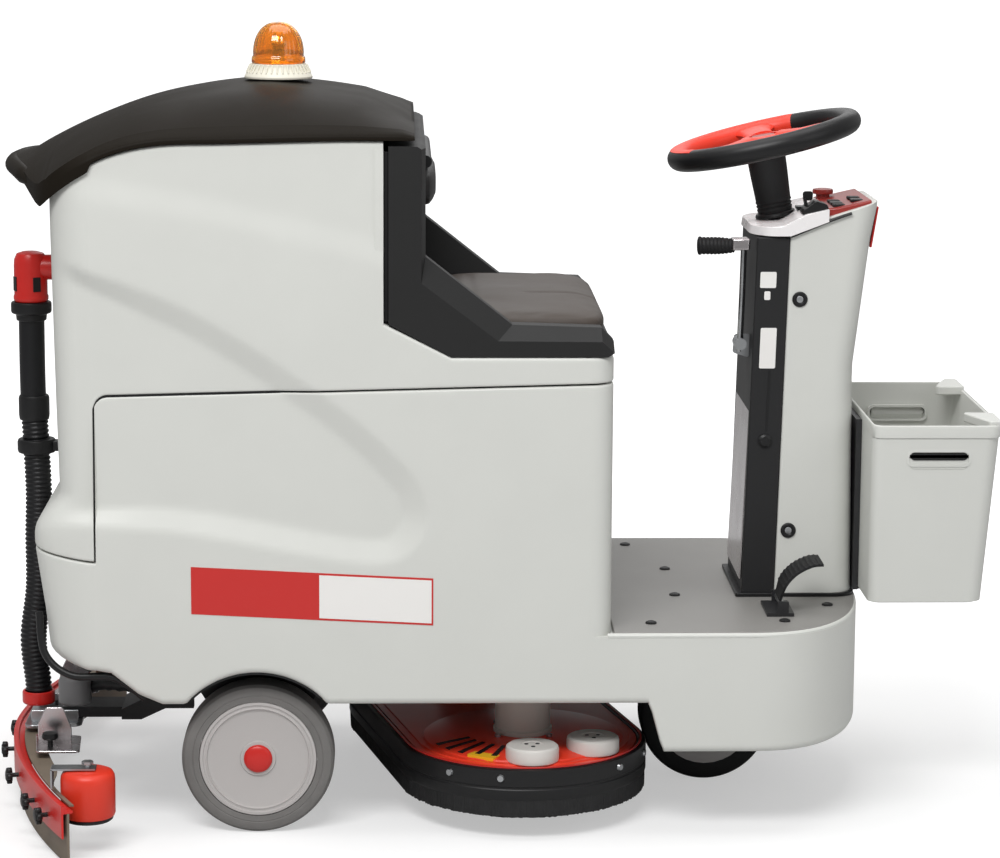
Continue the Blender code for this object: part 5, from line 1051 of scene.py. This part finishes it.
def platform():
    """Tread plate, the moulded border round it and its screws."""
    half = [(px, py) for px, py in half_plan("nose") if px > 0.158]
    outline = [(min(px - 0.003, NOSE_FRONT - 0.005), py * 0.986) for px, py in half]
    outline += [(px, -py) for px, py in outline[-2::-1]]
    outline = [(max(px, 0.1595), py) for px, py in outline]
    piece("platform_tread", slab(outline, FLOOR + 0.0003, 0.3058, "z"), PLATE, "machine", "platform_plate",
          bevel=0.0015)
    border = [(px, py) for px, py in half_plan("nose") if px > 0.15]
    path = [(px - 0.004 * (px > NOSE_START), py * 0.9905, FLOOR + 0.0005) for px, py in border]
    path += [(px, -py, z) for px, py, z in path[-2::-1]]
    piece("platform_border", tube(path, 0.0042, 10), SHELL)
    screw = [(0, 0.3056), (0.0085, 0.3056), (0.008, 0.308), (0.005, 0.3092), (0.003, 0.3085), (0, 0.3085)]
    for k, (px, y) in enumerate(((0.217, 0.27), (0.267, 0.09), (0.414, 0.259), (0.49, 0.157))):
        for side, sign in SIDES:
            piece(f"platform_screw_{side}_{k + 1}", turned(screw, (px, sign * y, 0), "z", 24), BLACK)


def pedal():
    """Curved, ribbed pad on its pin."""
    count, middle = 40, -0.19
    curve = through([(x, middle, z) for x, z in ((0.4115, 0.3262), (0.419, 0.35), (0.435, 0.368), (0.457, 0.3795),
                                                 (0.4745, 0.3815))], count)
    rings = []
    for i, (x, y, z) in enumerate(curve):
        ahead, behind = curve[min(i + 1, count - 1)], curve[max(i - 1, 0)]
        along = Vector(ahead - behind).normalized()
        out = Vector((-along.z, 0, along.x))
        rib = 0.0012 if i % 3 == 0 and 8 < i < 38 else 0.0
        half = 0.033 - 0.006 * smooth(1 - i / 12)
        loop = [(-half, -0.0025), (half, -0.0025), (half, 0.0015 + rib), (-half, 0.0015 + rib)]
        rings.append([Vector((x, y + a, z)) + out * b for a, b in loop])
    piece("pedal_pad", loft(rings), RUBBER, "pedal", "accelerator_pedal", bevel=0.0006, angle=50)
    pin = turned([(0, -0.228), (0.0045, -0.228), (0.0045, -0.152), (0, -0.152)], (0.415, 0, 0.32), "y", 16)
    piece("pedal_pin", pin, STEEL, "pedal", bevel=0.0008)


def litter_bin():
    """Open bin with a rounded rim, a hooked front edge and a sunk handle in each side."""
    top, wall = 0.586, 0.004

    def ring(z, grow):
        t = (z - 0.322) / (top - 0.322)
        front, half = 0.716 + 0.02 * t + grow, 0.194 + 0.01 * t + grow
        back = 0.5457 - grow
        loop = rounded([(back, -half), (front, -half), (front, half), (back, half)], [0.014, 0.022, 0.022, 0.014], 6)
        return [(a, b, z) for a, b in loop]

    heights = np.linspace(0.319, top - 0.0015, 12)
    rings = [ring(0.317, -0.004), *(ring(z, 0.0) for z in heights), ring(top, -0.0012), ring(top, -0.003),
             ring(top - 0.0015, -wall), *(ring(z, -wall) for z in heights[-2:0:-1]), ring(0.328, -0.007)]
    made = piece("bin_shell", loft(rings), SHELL, "bin", "litter_bin", angle=30)
    made.data.polygons.foreach_set("use_smooth", [True] * len(made.data.polygons))
    brim = ring(top - 0.0025, 0.0)
    rings = []
    for dx, dz in ((0.0, -0.016), (0.0022, -0.0155), (0.0032, -0.002), (0.0022, 0.0015), (0.0, 0.002)):
        rings.append([(a + (dx if a > 0.6 else -0.0002), b + math.copysign(dx * 0.6, b), z + dz) for a, b, z in brim])
    piece("bin_brim", loft(rings, True, False), SHELL, "bin", angle=40)
    wide = 0.2012
    hole = rounded([(0.5995, 0.5275), (0.6875, 0.5275), (0.6875, 0.5465), (0.5995, 0.5465)], 0.007, 5)
    lip = rounded([(0.596, 0.5245), (0.691, 0.5245), (0.691, 0.55), (0.596, 0.55)], 0.009, 5)
    well = rounded([(0.6, 0.5215), (0.687, 0.5215), (0.687, 0.547), (0.6, 0.547)], 0.008, 5)
    shade = [(a, b + (0.013 if b < 0.53 else -0.001)) for a, b in well]
    for side, sign in SIDES:
        rings = [[(a, sign * (wide + depth), b) for a, b in loop]
                 for loop, depth in ((lip, 0.0016), (hole, 0.002), (hole, -0.01), (lip, -0.01))]
        piece(f"bin_handle_{side}", wrapped(rings), SHELL, "bin", angle=30)
        rings = []
        for inset, depth in ((0.0, 0.0012), (0.0, -0.0005), (0.0015, -0.0095)):
            rings.append([(a + inset * (1 if a < 0.64 else -1), sign * (wide + depth),
                           b + (inset * 9 if b < 0.53 else 0)) for a, b in well])
        piece(f"bin_handle_well_{side}", loft(rings, True, False), SHELL, "bin", angle=30)
        shadow = slab(shade, sign * (wide + 0.0004), sign * (wide + 0.0022))
        piece(f"bin_handle_shade_{side}", shadow, SEAT_SHELL, "bin")
    corner = ((0.69, 0.12), (0.737, 0.12), (0.737, 0.196), (0.718, 0.199), (0.7, 0.15))
    for side, sign in SIDES:
        hook = slab(rounded([(a, sign * b) for a, b in corner], 0.005, 3), 0.578, 0.592, "z")
        piece(f"bin_corner_{side}", hook, SHELL, "bin", bevel=0.002)
    ledge = slab(rounded([(0.556, -0.18), (0.566, -0.18), (0.566, 0.18), (0.556, 0.18)], 0.002), 0.56, 0.566, "z")
    piece("bin_ledge", ledge, SHELL, "bin", bevel=0.001)


# ---------------------------------------------------------------- wheels

def wheels():
    """Rear wheels with grooved treads, discs and caps, and the drive tyre."""
    tread = [(0.0858, 0.247), (0.1, 0.2455), (0.1065, 0.2475), (0.1102, 0.252),
             *((0.1094 if k % 2 else REAR_RADIUS, t) for k, t in enumerate(np.linspace(0.2555, 0.2895, 9))),
             (0.1102, 0.2935), (0.1065, 0.298), (0.1, 0.3), (0.0955, 0.2998), (0.0945, 0.299), (0.0935, 0.2996),
             (0.0858, 0.2985)]
    disc = [(0, 0.25), (0.085, 0.25), (0.0852, 0.2965), (0.0842, 0.2982), (0.0805, 0.2984), (0.0795, 0.2968),
            (0.0765, 0.2968), (0.0755, 0.2978), (0.0745, 0.2978), (0.0732, 0.2955), (0.07, 0.2945), (0.0265, 0.294),
            (0.0252, 0.2962), (0, 0.2962)]
    cap = [(0, 0.2955), (0.0205, 0.2955), (0.0208, 0.297), (0.02, 0.299), (0.018, 0.3006), (0.014, 0.3022),
           (0.008, 0.3032), (0, 0.3035)]
    for side, sign in SIDES:
        body = f"{side}_rear_wheel"
        tyre, hub, button = (turned(profile, (REAR_AXLE, 0, REAR_RADIUS), "y", steps, sign)
                             for profile, steps in ((tread, 96), (disc, 96), (cap, 48)))
        piece(f"rear_tyre_{side}_cover", tyre, TYRE, body, f"rear_tyre_{side}", angle=25)
        piece(f"rear_hub_{side}_disc", hub, HUB, body, f"rear_hub_{side}", angle=25)
        piece(f"hub_cap_{side}", button, RED, body)
    profile = [(0.0745, -0.0345), (0.09, -0.035), (0.0965, -0.0325), (0.0995, -0.028)]
    profile += [(0.1 if k % 2 == 0 else 0.098, t) for k, t in enumerate(np.linspace(-0.0255, 0.0255, 11))]
    profile += [(0.0995, 0.028), (0.0965, 0.0325), (0.09, 0.035), (0.0745, 0.0345)]
    tyre = turned(profile, (0.322, 0, 0.1), "y", 96)
    piece("drive_tyre_cover", tyre, TYRE_DARK, "drive_wheel", "drive_tyre", angle=25)


# ---------------------------------------------------------------- deck

def wrap(radius, count=60):
    """Outline of a band drawn tight round the two brushes."""
    a, b = Vector(RIGHT_BRUSH), Vector(LEFT_BRUSH)
    along = (b - a).normalized()
    start = math.atan2(along.y, along.x)
    out = []
    for centre, begin in ((a, start + math.pi / 2), (b, start - math.pi / 2)):
        for t in np.linspace(begin, begin + math.pi, count):
            out.append((centre.x + radius * math.cos(t), centre.y + radius * math.sin(t)))
    return out


def bands(profile, count=60):
    """Rings round both brushes through a profile of (radius, height)."""
    return [[(a, b, z) for a, b in wrap(r, count)] for r, z in profile]


def deck():
    """Rubber band with its bristle curtain, cover, slots, motors, deck rollers and the two brushes."""
    band = [(0.1715, 0.062), (0.1835, 0.0605), (0.185, 0.064), (0.185, 0.076), (0.1838, 0.0775),
            (0.1838, 0.08), (0.185, 0.0815), (0.185, 0.101), (0.1838, 0.1055), (0.1795, SKIRT_TOP),
            (0.1735, SKIRT_TOP), (0.1715, 0.104)]
    piece("deck_band", wrapped(bands(band)), BLACK, "deck", "deck_skirt", angle=35)
    line = bands(((0.1755, 0.1074), (0.1785, 0.1074), (0.1785, 0.109), (0.1755, 0.109)))
    piece("deck_red_line", wrapped(line), RED, "deck")
    rng = np.random.default_rng(3)
    count, tip = 220, 0.036
    rings = []
    for z, r in ((SKIRT_FOOT, 0.1835), (0.05, 0.1835), (tip, 0.183)):
        loop = []
        for k, (a, b) in enumerate(wrap(r, count)):
            centre = Vector(RIGHT_BRUSH if k < count else LEFT_BRUSH)
            out = (Vector((a, b)) - centre).normalized()
            jut = 0.001 * (k % 2) + rng.uniform(-0.0004, 0.0004)
            loop.append((a - out.x * jut, b - out.y * jut, z + (rng.uniform(-0.0012, 0.0012) if z < 0.04 else 0)))
        rings.append(loop)
    inner = bands(((0.174, tip), (0.174, SKIRT_FOOT)), count)
    piece("deck_curtain", wrapped(rings + inner), BRISTLE, "deck", angle=60)
    plate = [(0.1705, 0.0925), (0.1712, 0.103), (0.17, 0.1058), (0.16, 0.1062), (0.1585, 0.1075), (0.12, 0.1082)]
    piece("deck_top", loft(bands(plate)), DECK_RED, "deck", "deck_cover", angle=30)
    flange = 0.1161
    for side, (bx, by) in (("right", RIGHT_BRUSH), ("left", LEFT_BRUSH)):
        dome = turned([(0, 0.1078), (0.15, 0.1078), (0.148, 0.11), (0.132, 0.1125), (0.09, 0.115), (0.06, 0.1158),
                       (0, 0.1158)], (bx, by, 0), "z", 72)
        piece(f"deck_dome_{side}", dome, DECK_RED, "deck", angle=30)
        slots = []
        for k in range(5):
            a = math.radians((206 if side == "right" else 26) + k * 11)
            out, across = polar(a), polar(a + math.pi / 2)
            corners = [out * r + across * w
                       for r, w in ((0.09, -0.003), (0.143, -0.0045), (0.143, 0.0045), (0.09, 0.003))]
            slots.append(loft([[(bx + c.x, by + c.y, 0.115 - (c.length - 0.095) * 0.075 + lift) for c in corners]
                               for lift in (-0.0005, 0.001)]))
        piece(f"deck_slots_{side}", joined(*slots), BLACK, "deck")
        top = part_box(f"brush_motor_{side}")[1].z
        can = [(0, flange), (0.044, flange), (0.044, 0.122), (0.0415, 0.1235), (0.0415, 0.19), (0.0425, 0.192),
               (0.0425, 0.198), (0.04, 0.205), (0.032, top - 0.004), (0.03, top), (0, top)]
        motor = turned(can, (bx, by, 0))
        bolts = [turned([(0, flange), (0.0045, flange), (0.0045, 0.1205), (0, 0.121)],
                        Vector((bx, by, 0)) + polar(math.pi / 4 + k * math.pi / 2, 0.054), "z", 6) for k in range(4)]
        piece(f"motor_{side}_can", motor, MOTOR, "deck", f"brush_motor_{side}", angle=30)
        piece(f"motor_{side}_bolts", joined(*bolts), STEEL, "deck", angle=30)
    patch = rounded([(-0.052, -0.284), (-0.014, -0.306), (-0.002, -0.288), (-0.038, -0.266)], 0.003)
    piece("deck_patch", slab(patch, 0.108, 0.1128, "z"), YELLOW, "deck")
    for k, turn in enumerate((233, 258, 318, 345)):
        out = polar(math.radians(turn))
        for side, centre, way in (("right", RIGHT_BRUSH, out), ("left", LEFT_BRUSH, -out)):
            head = tube([Vector((*centre, 0.094)) + way * reach for reach in (0.1846, 0.188)], [0.0058, 0.0046], 12)
            piece(f"band_bolt_{side}_{k + 1}", head, STEEL, "deck")
    cap = [(0, 0.1074), (0.0375, 0.1074), (0.039, 0.109), (0.039, 0.1245), (0.0378, 0.1285), (0.035, 0.1305),
           (0.0165, 0.1308), (0.016, 0.1298), (0, 0.1298)]
    for name, at in (("front", Vector((0.13535, -0.24721, 0))), ("rear", Vector((0.04414, -0.29368, 0)))):
        piece(f"roller_{name}_body", turned(cap, at, "z", 60), ROLLER, f"{name}_deck_roller", f"deck_roller_{name}",
              angle=30)
        marks = [turned([(0, 0.1296), (0.0032, 0.1296), (0.003, 0.1304), (0, 0.1306)], at + polar(a, 0.0095), "z", 12)
                 for a in (0.6, 2.7, 4.8)]
        piece(f"roller_{name}_pins", joined(*marks), PAINT, f"{name}_deck_roller")
    for side, (bx, by) in (("right", RIGHT_BRUSH), ("left", LEFT_BRUSH)):
        angles = [k * math.tau / 240 for k in range(240)]
        rings = []
        for z, r in ((0.0285, 0.164), (0.045, 0.1635), (0.064, 0.156), (0.066, 0.15), (0.079, 0.15)):
            loop = []
            for k, a in enumerate(angles):
                jut = (0.0016 * (k % 2) + rng.uniform(-0.0006, 0.0006)) if z < 0.065 else 0
                rise = rng.uniform(0, 0.0012) if z < 0.03 else 0
                loop.append((bx + (r - jut) * math.cos(a), by + (r - jut) * math.sin(a), z + rise))
            rings.append(loop)
        for z, r in ((0.079, 0.045), (0.045, 0.08), (0.0288, 0.08)):
            rings.append([(bx + r * math.cos(a), by + r * math.sin(a), z) for a in angles])
        piece(f"brush_{side}_bristles", wrapped(rings), BRISTLE, f"{side}_brush", f"brush_{side}",
              angle=50)


# ---------------------------------------------------------------- squeegee and hose

def bar_x(y):
    """Station of the squeegee bar's rear face across the machine."""
    return BOW_REAR + BOW_DEPTH * (abs(y) / BLADE_HALF) ** 1.8


def curved(corners, radius, ends=BLADE_HALF):
    """A section of (offset forwards, height) drawn along the squeegee's bow."""
    profile = rounded(corners, radius, 2)
    return loft([[(bar_x(y) + a, y, z) for a, z in profile] for y in np.linspace(-ends, ends, 64)])


def squeegee():
    """Rail with its rubber lips, shelf and star knobs, and the two bumper rollers with their straps."""
    rail = curved([(0.0, 0.042), (0.003, 0.042), (0.003, 0.078), (0.0165, 0.08), (0.0165, 0.0835),
                   (0.0078, 0.084), (0.0078, 0.0898), (0.0, 0.0898)], 0.0008)
    piece("squeegee_rail", rail, RED, "squeegee", "squeegee_bar", angle=40)
    lip = curved([(0.0083, 0.0032), (0.0113, 0.0032), (0.0113, 0.079), (0.0083, 0.079)], 0.0006)
    piece("squeegee_lip", lip, BLADE, "squeegee", "squeegee_blade", angle=40)
    clamp = [(0.0036, 0.046), (0.0062, 0.038), (0.0062, 0.072), (0.0036, 0.072)]
    piece("squeegee_clamp", curved(clamp, 0.0006, BLADE_HALF - 0.01), STEEL, "squeegee", angle=40)
    front = [(0.0135, 0.006), (0.0157, 0.006), (0.016, 0.0795), (0.0138, 0.0795)]
    piece("squeegee_front_lip", curved(front, 0.0006, BLADE_HALF - 0.03), BLADE, "squeegee", angle=40)
    rings = []
    for y in np.linspace(-0.445, 0.445, 48):
        wide = 0.023 + 0.024 * float(smooth((0.36 - abs(y)) / 0.1))
        rings.append([(bar_x(y) + a, y, z) for a, z in ((0.0165, 0.085), (wide, 0.085), (wide, 0.0875),
                                                       (0.0165, 0.0875))])
    piece("squeegee_shelf", loft(rings), BLADE, "squeegee", angle=40)
    for k, y in enumerate((-0.4, -0.33, -0.2, -0.06, 0.06, 0.2, 0.33, 0.4)):
        slope = math.atan2(bar_x(y + 0.01) - bar_x(y - 0.01), 0.02)
        back = Vector((-math.cos(slope), math.sin(slope), 0))
        at = Vector((bar_x(y), y, 0.06))
        stem = tube([at + back * 0.0002, at + back * 0.0115], 0.0035, 10)
        lobes = []
        across = Vector((-back.y, back.x, 0))
        for j in range(5):
            a = j * math.tau / 5
            c = at + across * (0.008 * math.cos(a)) + Vector((0, 0, 0.008 * math.sin(a)))
            lobes.append(tube([c + back * reach for reach in (0.01, 0.0112, 0.0165, 0.0178)],
                              [0.004, 0.005, 0.005, 0.004], 10))
        core = tube([at + back * 0.0095, at + back * 0.0185, at + back * 0.0195], [0.0088, 0.0082, 0.006])
        node = {-0.06: "blade_knob_right", 0.06: "blade_knob_left"}.get(y)
        piece(f"squeegee_star_{k + 1}", joined(stem, core, *lobes), BLACK, "squeegee", node,
              angle=40)
    roller = [(0, 0.052), (0.033, 0.052), (0.0372, 0.0535), (0.0388, 0.057), (0.039, 0.105), (0.0383, 0.112),
              (0.0355, 0.1172), (0.03, 0.1195), (0, 0.12)]
    for side, sign in SIDES:
        x, y = -0.59355, sign * 0.38
        piece(f"bumper_{side}_wheel", turned(roller, (x, y, 0), "z", 56), BRIGHT_RED, f"{side}_bumper",
              f"bumper_roller_{side}", angle=40)
        slot = rounded([(x + a, y + b) for a, b in ((-0.012, -0.003), (0.012, -0.003), (0.012, 0.003), (-0.012, 0.003))],
                       0.002)
        piece(f"bumper_{side}_slot", slab(slot, 0.119, 0.1208, "z"), BLACK, f"{side}_bumper")
        ring = turned([(0.02, 0.047), (0.0335, 0.047), (0.0355, 0.049), (0.0355, 0.0524), (0.02, 0.0524)],
                      (x, y, 0))
        piece(f"bumper_{side}_foot", ring, BLACK, f"{side}_bumper")
        reach = rounded([(x - 0.052, 0.1215), (x + 0.012, 0.1215), (x + 0.012, 0.124), (x - 0.052, 0.124)], 0.001)
        web = [(x - 0.052, 0.0945), (x - 0.0495, 0.0945), (x - 0.0495, 0.1225), (x - 0.052, 0.1225)]
        bolt = turned([(0, 0.1205), (0.0045, 0.1205), (0.0045, 0.1285), (0.0085, 0.1285), (0.0085, 0.1325), (0, 0.1335)],
                      (x, y, 0), "z", 6)
        strap = joined(*(slab(part, y - 0.012, y + 0.012) for part in (reach, web)), bolt)
        piece(f"bumper_{side}_strap", strap, STEEL, "squeegee", angle=40)


def suspension():
    """The arm that carries the squeegee, with its sleeve, bolts and bracket plates."""
    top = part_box("squeegee_bracket")[1].z
    plate = rounded([(-0.7205, -0.075), (-0.635, -0.06), (-0.635, 0.06), (-0.7205, 0.075)], 0.012)
    post = turned([(0, 0.0943), (0.015, 0.0943), (0.015, 0.105), (0.008, 0.107), (0.008, top), (0, top)],
                  (-0.655, 0, 0), "z", 32)
    ribs = [box_shape(-0.712, -0.64, y - 0.0015, y + 0.0015, 0.1, 0.118) for y in (-0.05, 0.05)]
    base = joined(slab(plate, 0.0943, 0.1003, "z"), post, *ribs)
    piece("squeegee_mount", base, STEEL, "squeegee", "squeegee_bracket", bevel=0.0012)
    for k, y in enumerate((-0.05, 0.05)):
        nut = turned([(0, 0.1003), (0.0085, 0.1003), (0.0085, 0.1075), (0, 0.1085)], (-0.69, y, 0), "z", 6)
        piece(f"mount_nut_{k + 1}", nut, STEEL, "squeegee")
    bent = rounded([(-0.69, 0.098), (-0.64, 0.098), (-0.64, 0.118), (-0.652, 0.15), (-0.678, 0.15),
                    (-0.69, 0.125)], 0.004)
    for side, sign in SIDES:
        piece(f"mount_cheek_{side}", slab(bent, sign * 0.15, sign * 0.154), SILVER, "squeegee", bevel=0.001)
        shelf = rounded([(-0.698, sign * 0.115), (-0.628, sign * 0.13), (-0.622, sign * 0.215),
                         (-0.686, sign * 0.215)], 0.006)
        piece(f"mount_shelf_{side}", slab(shelf, 0.0965, 0.1, "z"), SILVER, "squeegee", bevel=0.001)
        knob = turned([(0, 0.1002), (0.004, 0.1002), (0.004, 0.112), (0.011, 0.112), (0.0125, 0.115),
                       (0.011, 0.121), (0, 0.1225)], (-0.668, sign * 0.19, 0), "z", 24)
        piece(f"mount_knob_{side}", knob, BLACK, "squeegee")
        damper = turned([(0, 0.158), (0.023, 0.158), (0.025, 0.161), (0.025, 0.192), (0.0225, 0.198), (0, 0.199)],
                        (-0.638, sign * 0.11, -0.012), "z", 32)
        piece(f"arm_damper_{side}", damper, DAMPER, "squeegee_carrier", bevel=0.001)
        route = ((-0.64, 0.085, 0.15), (-0.6, 0.115, 0.176), (-0.545, 0.14, 0.18), (-0.485, 0.15, 0.186))
        strut = tube(through([(x, sign * y, z) for x, y, z in route], 30),
                     [0.0095 + (0.0016 if 10 < k < 22 and k % 3 == 0 else 0) for k in range(30)])
        piece(f"arm_strut_{side}", strut, BLACK, "squeegee_carrier")
        # A black tube under the body's rear lip: a black edge and the shadow line under the lip, partly painted shadow.
        route = ((-0.668, 0.292, 0.33), (-0.66, 0.3, 0.27), (-0.622, 0.31, 0.24), (-0.56, 0.316, 0.238),
                 (-0.516, 0.318, 0.208))
        edge = tube(through([(x, sign * y, z) for x, y, z in route], 40), 0.0055, 12)
        piece(f"rear_edge_shadow_line_{side}", edge, BLACK)


HOSE_ROUTE = [(SPIGOT, 0.1183), (SPIGOT, 0.148), (-0.712, 0.22), (-0.7025, 0.3), (-0.7015, 0.38), (-0.6995, 0.45),
              (-0.702, 0.53), (ELBOW, 0.61), (ELBOW, 0.721), (ELBOW, 0.741)]


def hose():
    """Suction hose from the squeegee's spigot up to the tank's elbow: corrugated below, smooth above."""
    line = through([(x, 0.0, z) for x, z in HOSE_ROUTE], 360)
    smooth_from = 0.56
    radii = [0.0194 if z >= smooth_from else 0.0186 if (k // 2) % 2 else 0.0203 for k, (_, _, z) in enumerate(line)]
    made = piece("suction_tube", tube(line, radii, 28), HOSE, None, "suction_hose", angle=50)
    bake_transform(made)
    cuff = turned([(0.0196, 0.712), (0.0225, 0.713), (0.0235, 0.722), (0.0295, 0.724), (0.0305, 0.727), (0.0305, 0.738),
                   (0.0295, 0.741), (0.0196, 0.741)], (ELBOW, 0, 0), "z", 40)
    cuff = piece("hose_cuff", cuff, BLACK, bevel=0.001, angle=30)
    sleeve = turned([(0.019, smooth_from), (0.0222, 0.561), (0.0232, 0.568), (0.0232, 0.594), (0.0218, 0.598),
                     (0.019, 0.599)], (-0.7038, 0, 0), "z", 40)
    sleeve = piece("hose_sleeve", sleeve, BLACK, bevel=0.0008, angle=30)
    clip = joined(turned([(0.02, 0.51), (0.0275, 0.51), (0.029, 0.514), (0.029, 0.527), (0.0275, 0.531),
                          (0.02, 0.531)], (-0.7012, 0, 0), "z", 40),
                  box_shape(-0.678, -0.634, -0.012, 0.012, 0.513, 0.528))
    clip = piece("hose_clip", clip, BLACK, bevel=0.001, angle=30)
    cup = turned([(0.0208, 0.117), (0.0235, 0.117), (0.025, 0.1195), (0.025, 0.134), (0.0238, 0.137),
                  (0.0208, 0.137)], (SPIGOT, 0, 0), "z", 40)
    piece("hose_coupling", cup, RED, "squeegee_carrier", bevel=0.001, angle=30)
    elbow()


def elbow():
    """Red elbow between the hose and the tank, with the dark slots of its snap fit."""
    foot = turned([(0, 0.7414), (0.0245, 0.7414), (0.0262, 0.745), (0.0262, 0.75), (0.025, 0.752),
                   (0.025, 0.796), (0.0242, 0.806), (0.0205, 0.814), (0.012, 0.8168), (0, 0.817)], (ELBOW, 0, 0))
    neck = turned([(0, ELBOW), (0.0185, ELBOW), (0.019, -0.69), (0.019, -0.6555), (0.029, -0.655),
                   (0.03, -0.654), (0.03, -0.646), (0, -0.6453)], (0, 0, 0.793), "x", 40)
    piece("elbow_body", joined(foot, neck), RED, "machine", "hose_elbow", bevel=0.0012, angle=35)
    corners = ((-0.006, -0.01), (0.006, -0.01), (0.006, 0.012), (-0.006, 0.012))
    windows = []
    for a in (2.3, 3.6, 0.9, 5.2):
        out, across = polar(a), polar(a + math.pi / 2)
        at = Vector((ELBOW, 0, 0.768)) + out * 0.0246
        windows.append(loft([[at + across * u + Vector((0, 0, v)) + out * w for u, v in corners]
                             for w in (-0.002, 0.0012)]))
    piece("elbow_windows", joined(*windows), BLACK, bevel=0.0008)


# ---------------------------------------------------------------- carried-over parts

def dress():
    """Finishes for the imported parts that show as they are."""
    finishes = {
        "rear_axle": STEEL, "lid_hinge_pin": STEEL, "steering_shaft_lower": STEEL, "steering_chain": STEEL,
        "chassis_frame": PAINT, "drive_fork": PAINT, "steering_shaft_upper": PAINT, "pedal_bracket": PAINT,
        "bin_bracket": PAINT, "deck_lift_arm": PAINT, "squeegee_arm": PAINT, "battery_left": BATTERY,
        "battery_right": BATTERY, "vacuum_motor": MOTOR, "drive_hub": HUB, "horn_button": DARK_RED,
        "emergency_button": RED,
    }
    for name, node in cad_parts.items():
        node.data.materials.clear()
        node.data.materials.append(finishes.get(name, BLACK))
        node.data.shade_smooth()
        node.data.set_sharp_from_angle(angle=math.radians(30))


# ---------------------------------------------------------------- stage

def stage():
    """White floor and world, four soft lamps and the camera of the photograph."""
    scene = bpy.context.scene
    floor_mat = bpy.data.materials.new("stage_floor")
    floor_mat.use_nodes = True
    tree = floor_mat.node_tree
    shader = tree.nodes["Principled BSDF"]
    shader.inputs["Base Color"].default_value = (0.58, 0.58, 0.58, 1)
    shader.inputs["Roughness"].default_value = 0.9
    shader.inputs["Specular IOR Level"].default_value = 0.1
    path = tree.nodes.new("ShaderNodeLightPath")
    light = tree.nodes.new("ShaderNodeEmission")
    light.inputs["Color"].default_value = (1, 1, 1, 1)
    place = tree.nodes.new("ShaderNodeNewGeometry")
    away = tree.nodes.new("ShaderNodeVectorMath")
    away.operation = "LENGTH"
    tree.links.new(place.outputs["Position"], away.inputs[0])
    lift = tree.nodes.new("ShaderNodeMapRange")
    lift.interpolation_type = "SMOOTHSTEP"
    for label, value in (("From Min", 0.7), ("From Max", 2.2), ("To Min", 0.46), ("To Max", 1.0)):
        lift.inputs[label].default_value = value
    tree.links.new(away.outputs["Value"], lift.inputs["Value"])
    add = tree.nodes.new("ShaderNodeAddShader")
    total = tree.nodes.new("ShaderNodeMath")
    total.operation = "MULTIPLY"
    tree.links.new(lift.outputs["Result"], total.inputs[1])
    tree.links.new(path.outputs["Is Camera Ray"], total.inputs[0])
    tree.links.new(total.outputs[0], light.inputs["Strength"])
    tree.links.new(shader.outputs[0], add.inputs[0])
    tree.links.new(light.outputs[0], add.inputs[1])
    tree.links.new(add.outputs[0], tree.nodes["Material Output"].inputs["Surface"])
    mesh = bpy.data.meshes.new("stage_floor")
    mesh.from_pydata([(-40, -40, 0), (40, -40, 0), (40, 40, 0), (-40, 40, 0)], [], [(0, 1, 2, 3)])
    mesh.materials.append(floor_mat)
    floor = bpy.data.objects.new("stage_floor", mesh)
    scene.collection.objects.link(floor)

    world = bpy.data.worlds.new("studio")
    scene.world = world
    world.use_nodes = True
    tree = world.node_tree
    back = tree.nodes["Background"]
    back.inputs["Color"].default_value = (1, 1, 1, 1)
    path = tree.nodes.new("ShaderNodeLightPath")
    seen = tree.nodes.new("ShaderNodeMath")
    seen.operation = "MAXIMUM"
    tree.links.new(path.outputs["Is Camera Ray"], seen.inputs[0])
    tree.links.new(path.outputs["Is Transmission Ray"], seen.inputs[1])
    span = tree.nodes.new("ShaderNodeMapRange")
    span.inputs["To Min"].default_value = 0.34
    span.inputs["To Max"].default_value = 1.0
    tree.links.new(seen.outputs[0], span.inputs["Value"])
    tree.links.new(span.outputs["Result"], back.inputs["Strength"])

    def lamp(name, place, aim, size, power):
        data = bpy.data.lights.new(name, "AREA")
        data.shape, data.size, data.size_y, data.energy = "RECTANGLE", size[0], size[1], power
        obj = bpy.data.objects.new(name, data)
        obj.location = place
        obj.rotation_euler = (Vector(aim) - Vector(place)).to_track_quat("-Z", "Y").to_euler()
        scene.collection.objects.link(obj)
    lamp("key", (-0.9, -2.9, 3.7), (0, 0, 0.5), (2.6, 1.2), 128)
    lamp("fill", (3.2, -2.6, 2.2), (0.1, 0, 0.5), (2.4, 2.4), 20)
    lamp("top", (0.0, 0.2, 3.6), (0, 0, 0.5), (3.4, 2.4), 60)
    lamp("back", (0.5, 3.4, 2.6), (0, 0, 0.5), (3.0, 2.0), 20)

    camera = bpy.data.cameras.new("camera")
    camera.lens, camera.sensor_width = CAMERA_LENS, 36.0
    camera.dof.use_dof = False
    obj = bpy.data.objects.new("camera", camera)
    obj.rotation_mode = "XYZ"
    obj.location = CAMERA_PLACE
    aim = Euler((math.radians(90) - CAMERA_PITCH, 0, -CAMERA_YAW), "XYZ").to_matrix()
    obj.rotation_euler = (aim @ Euler((0, 0, CAMERA_ROLL)).to_matrix()).to_euler()
    scene.collection.objects.link(obj)
    scene.camera = obj
    scene.view_settings.view_transform = "Standard"


CAMERA_PLACE = (-0.1356, -4.68, 1.3768)
CAMERA_LENS = 112.1
CAMERA_PITCH = math.radians(10.07)
CAMERA_YAW = math.radians(1.84)
CAMERA_ROLL = math.radians(0.32)

stage()
hose()
dress()
tanks()
stickers()
lid()
beacon()
seat_shell()
cushions()
column()
steering()
lever()
small_controls()
platform()
pedal()
litter_bin()
wheels()
deck()
squeegee()
suspension()
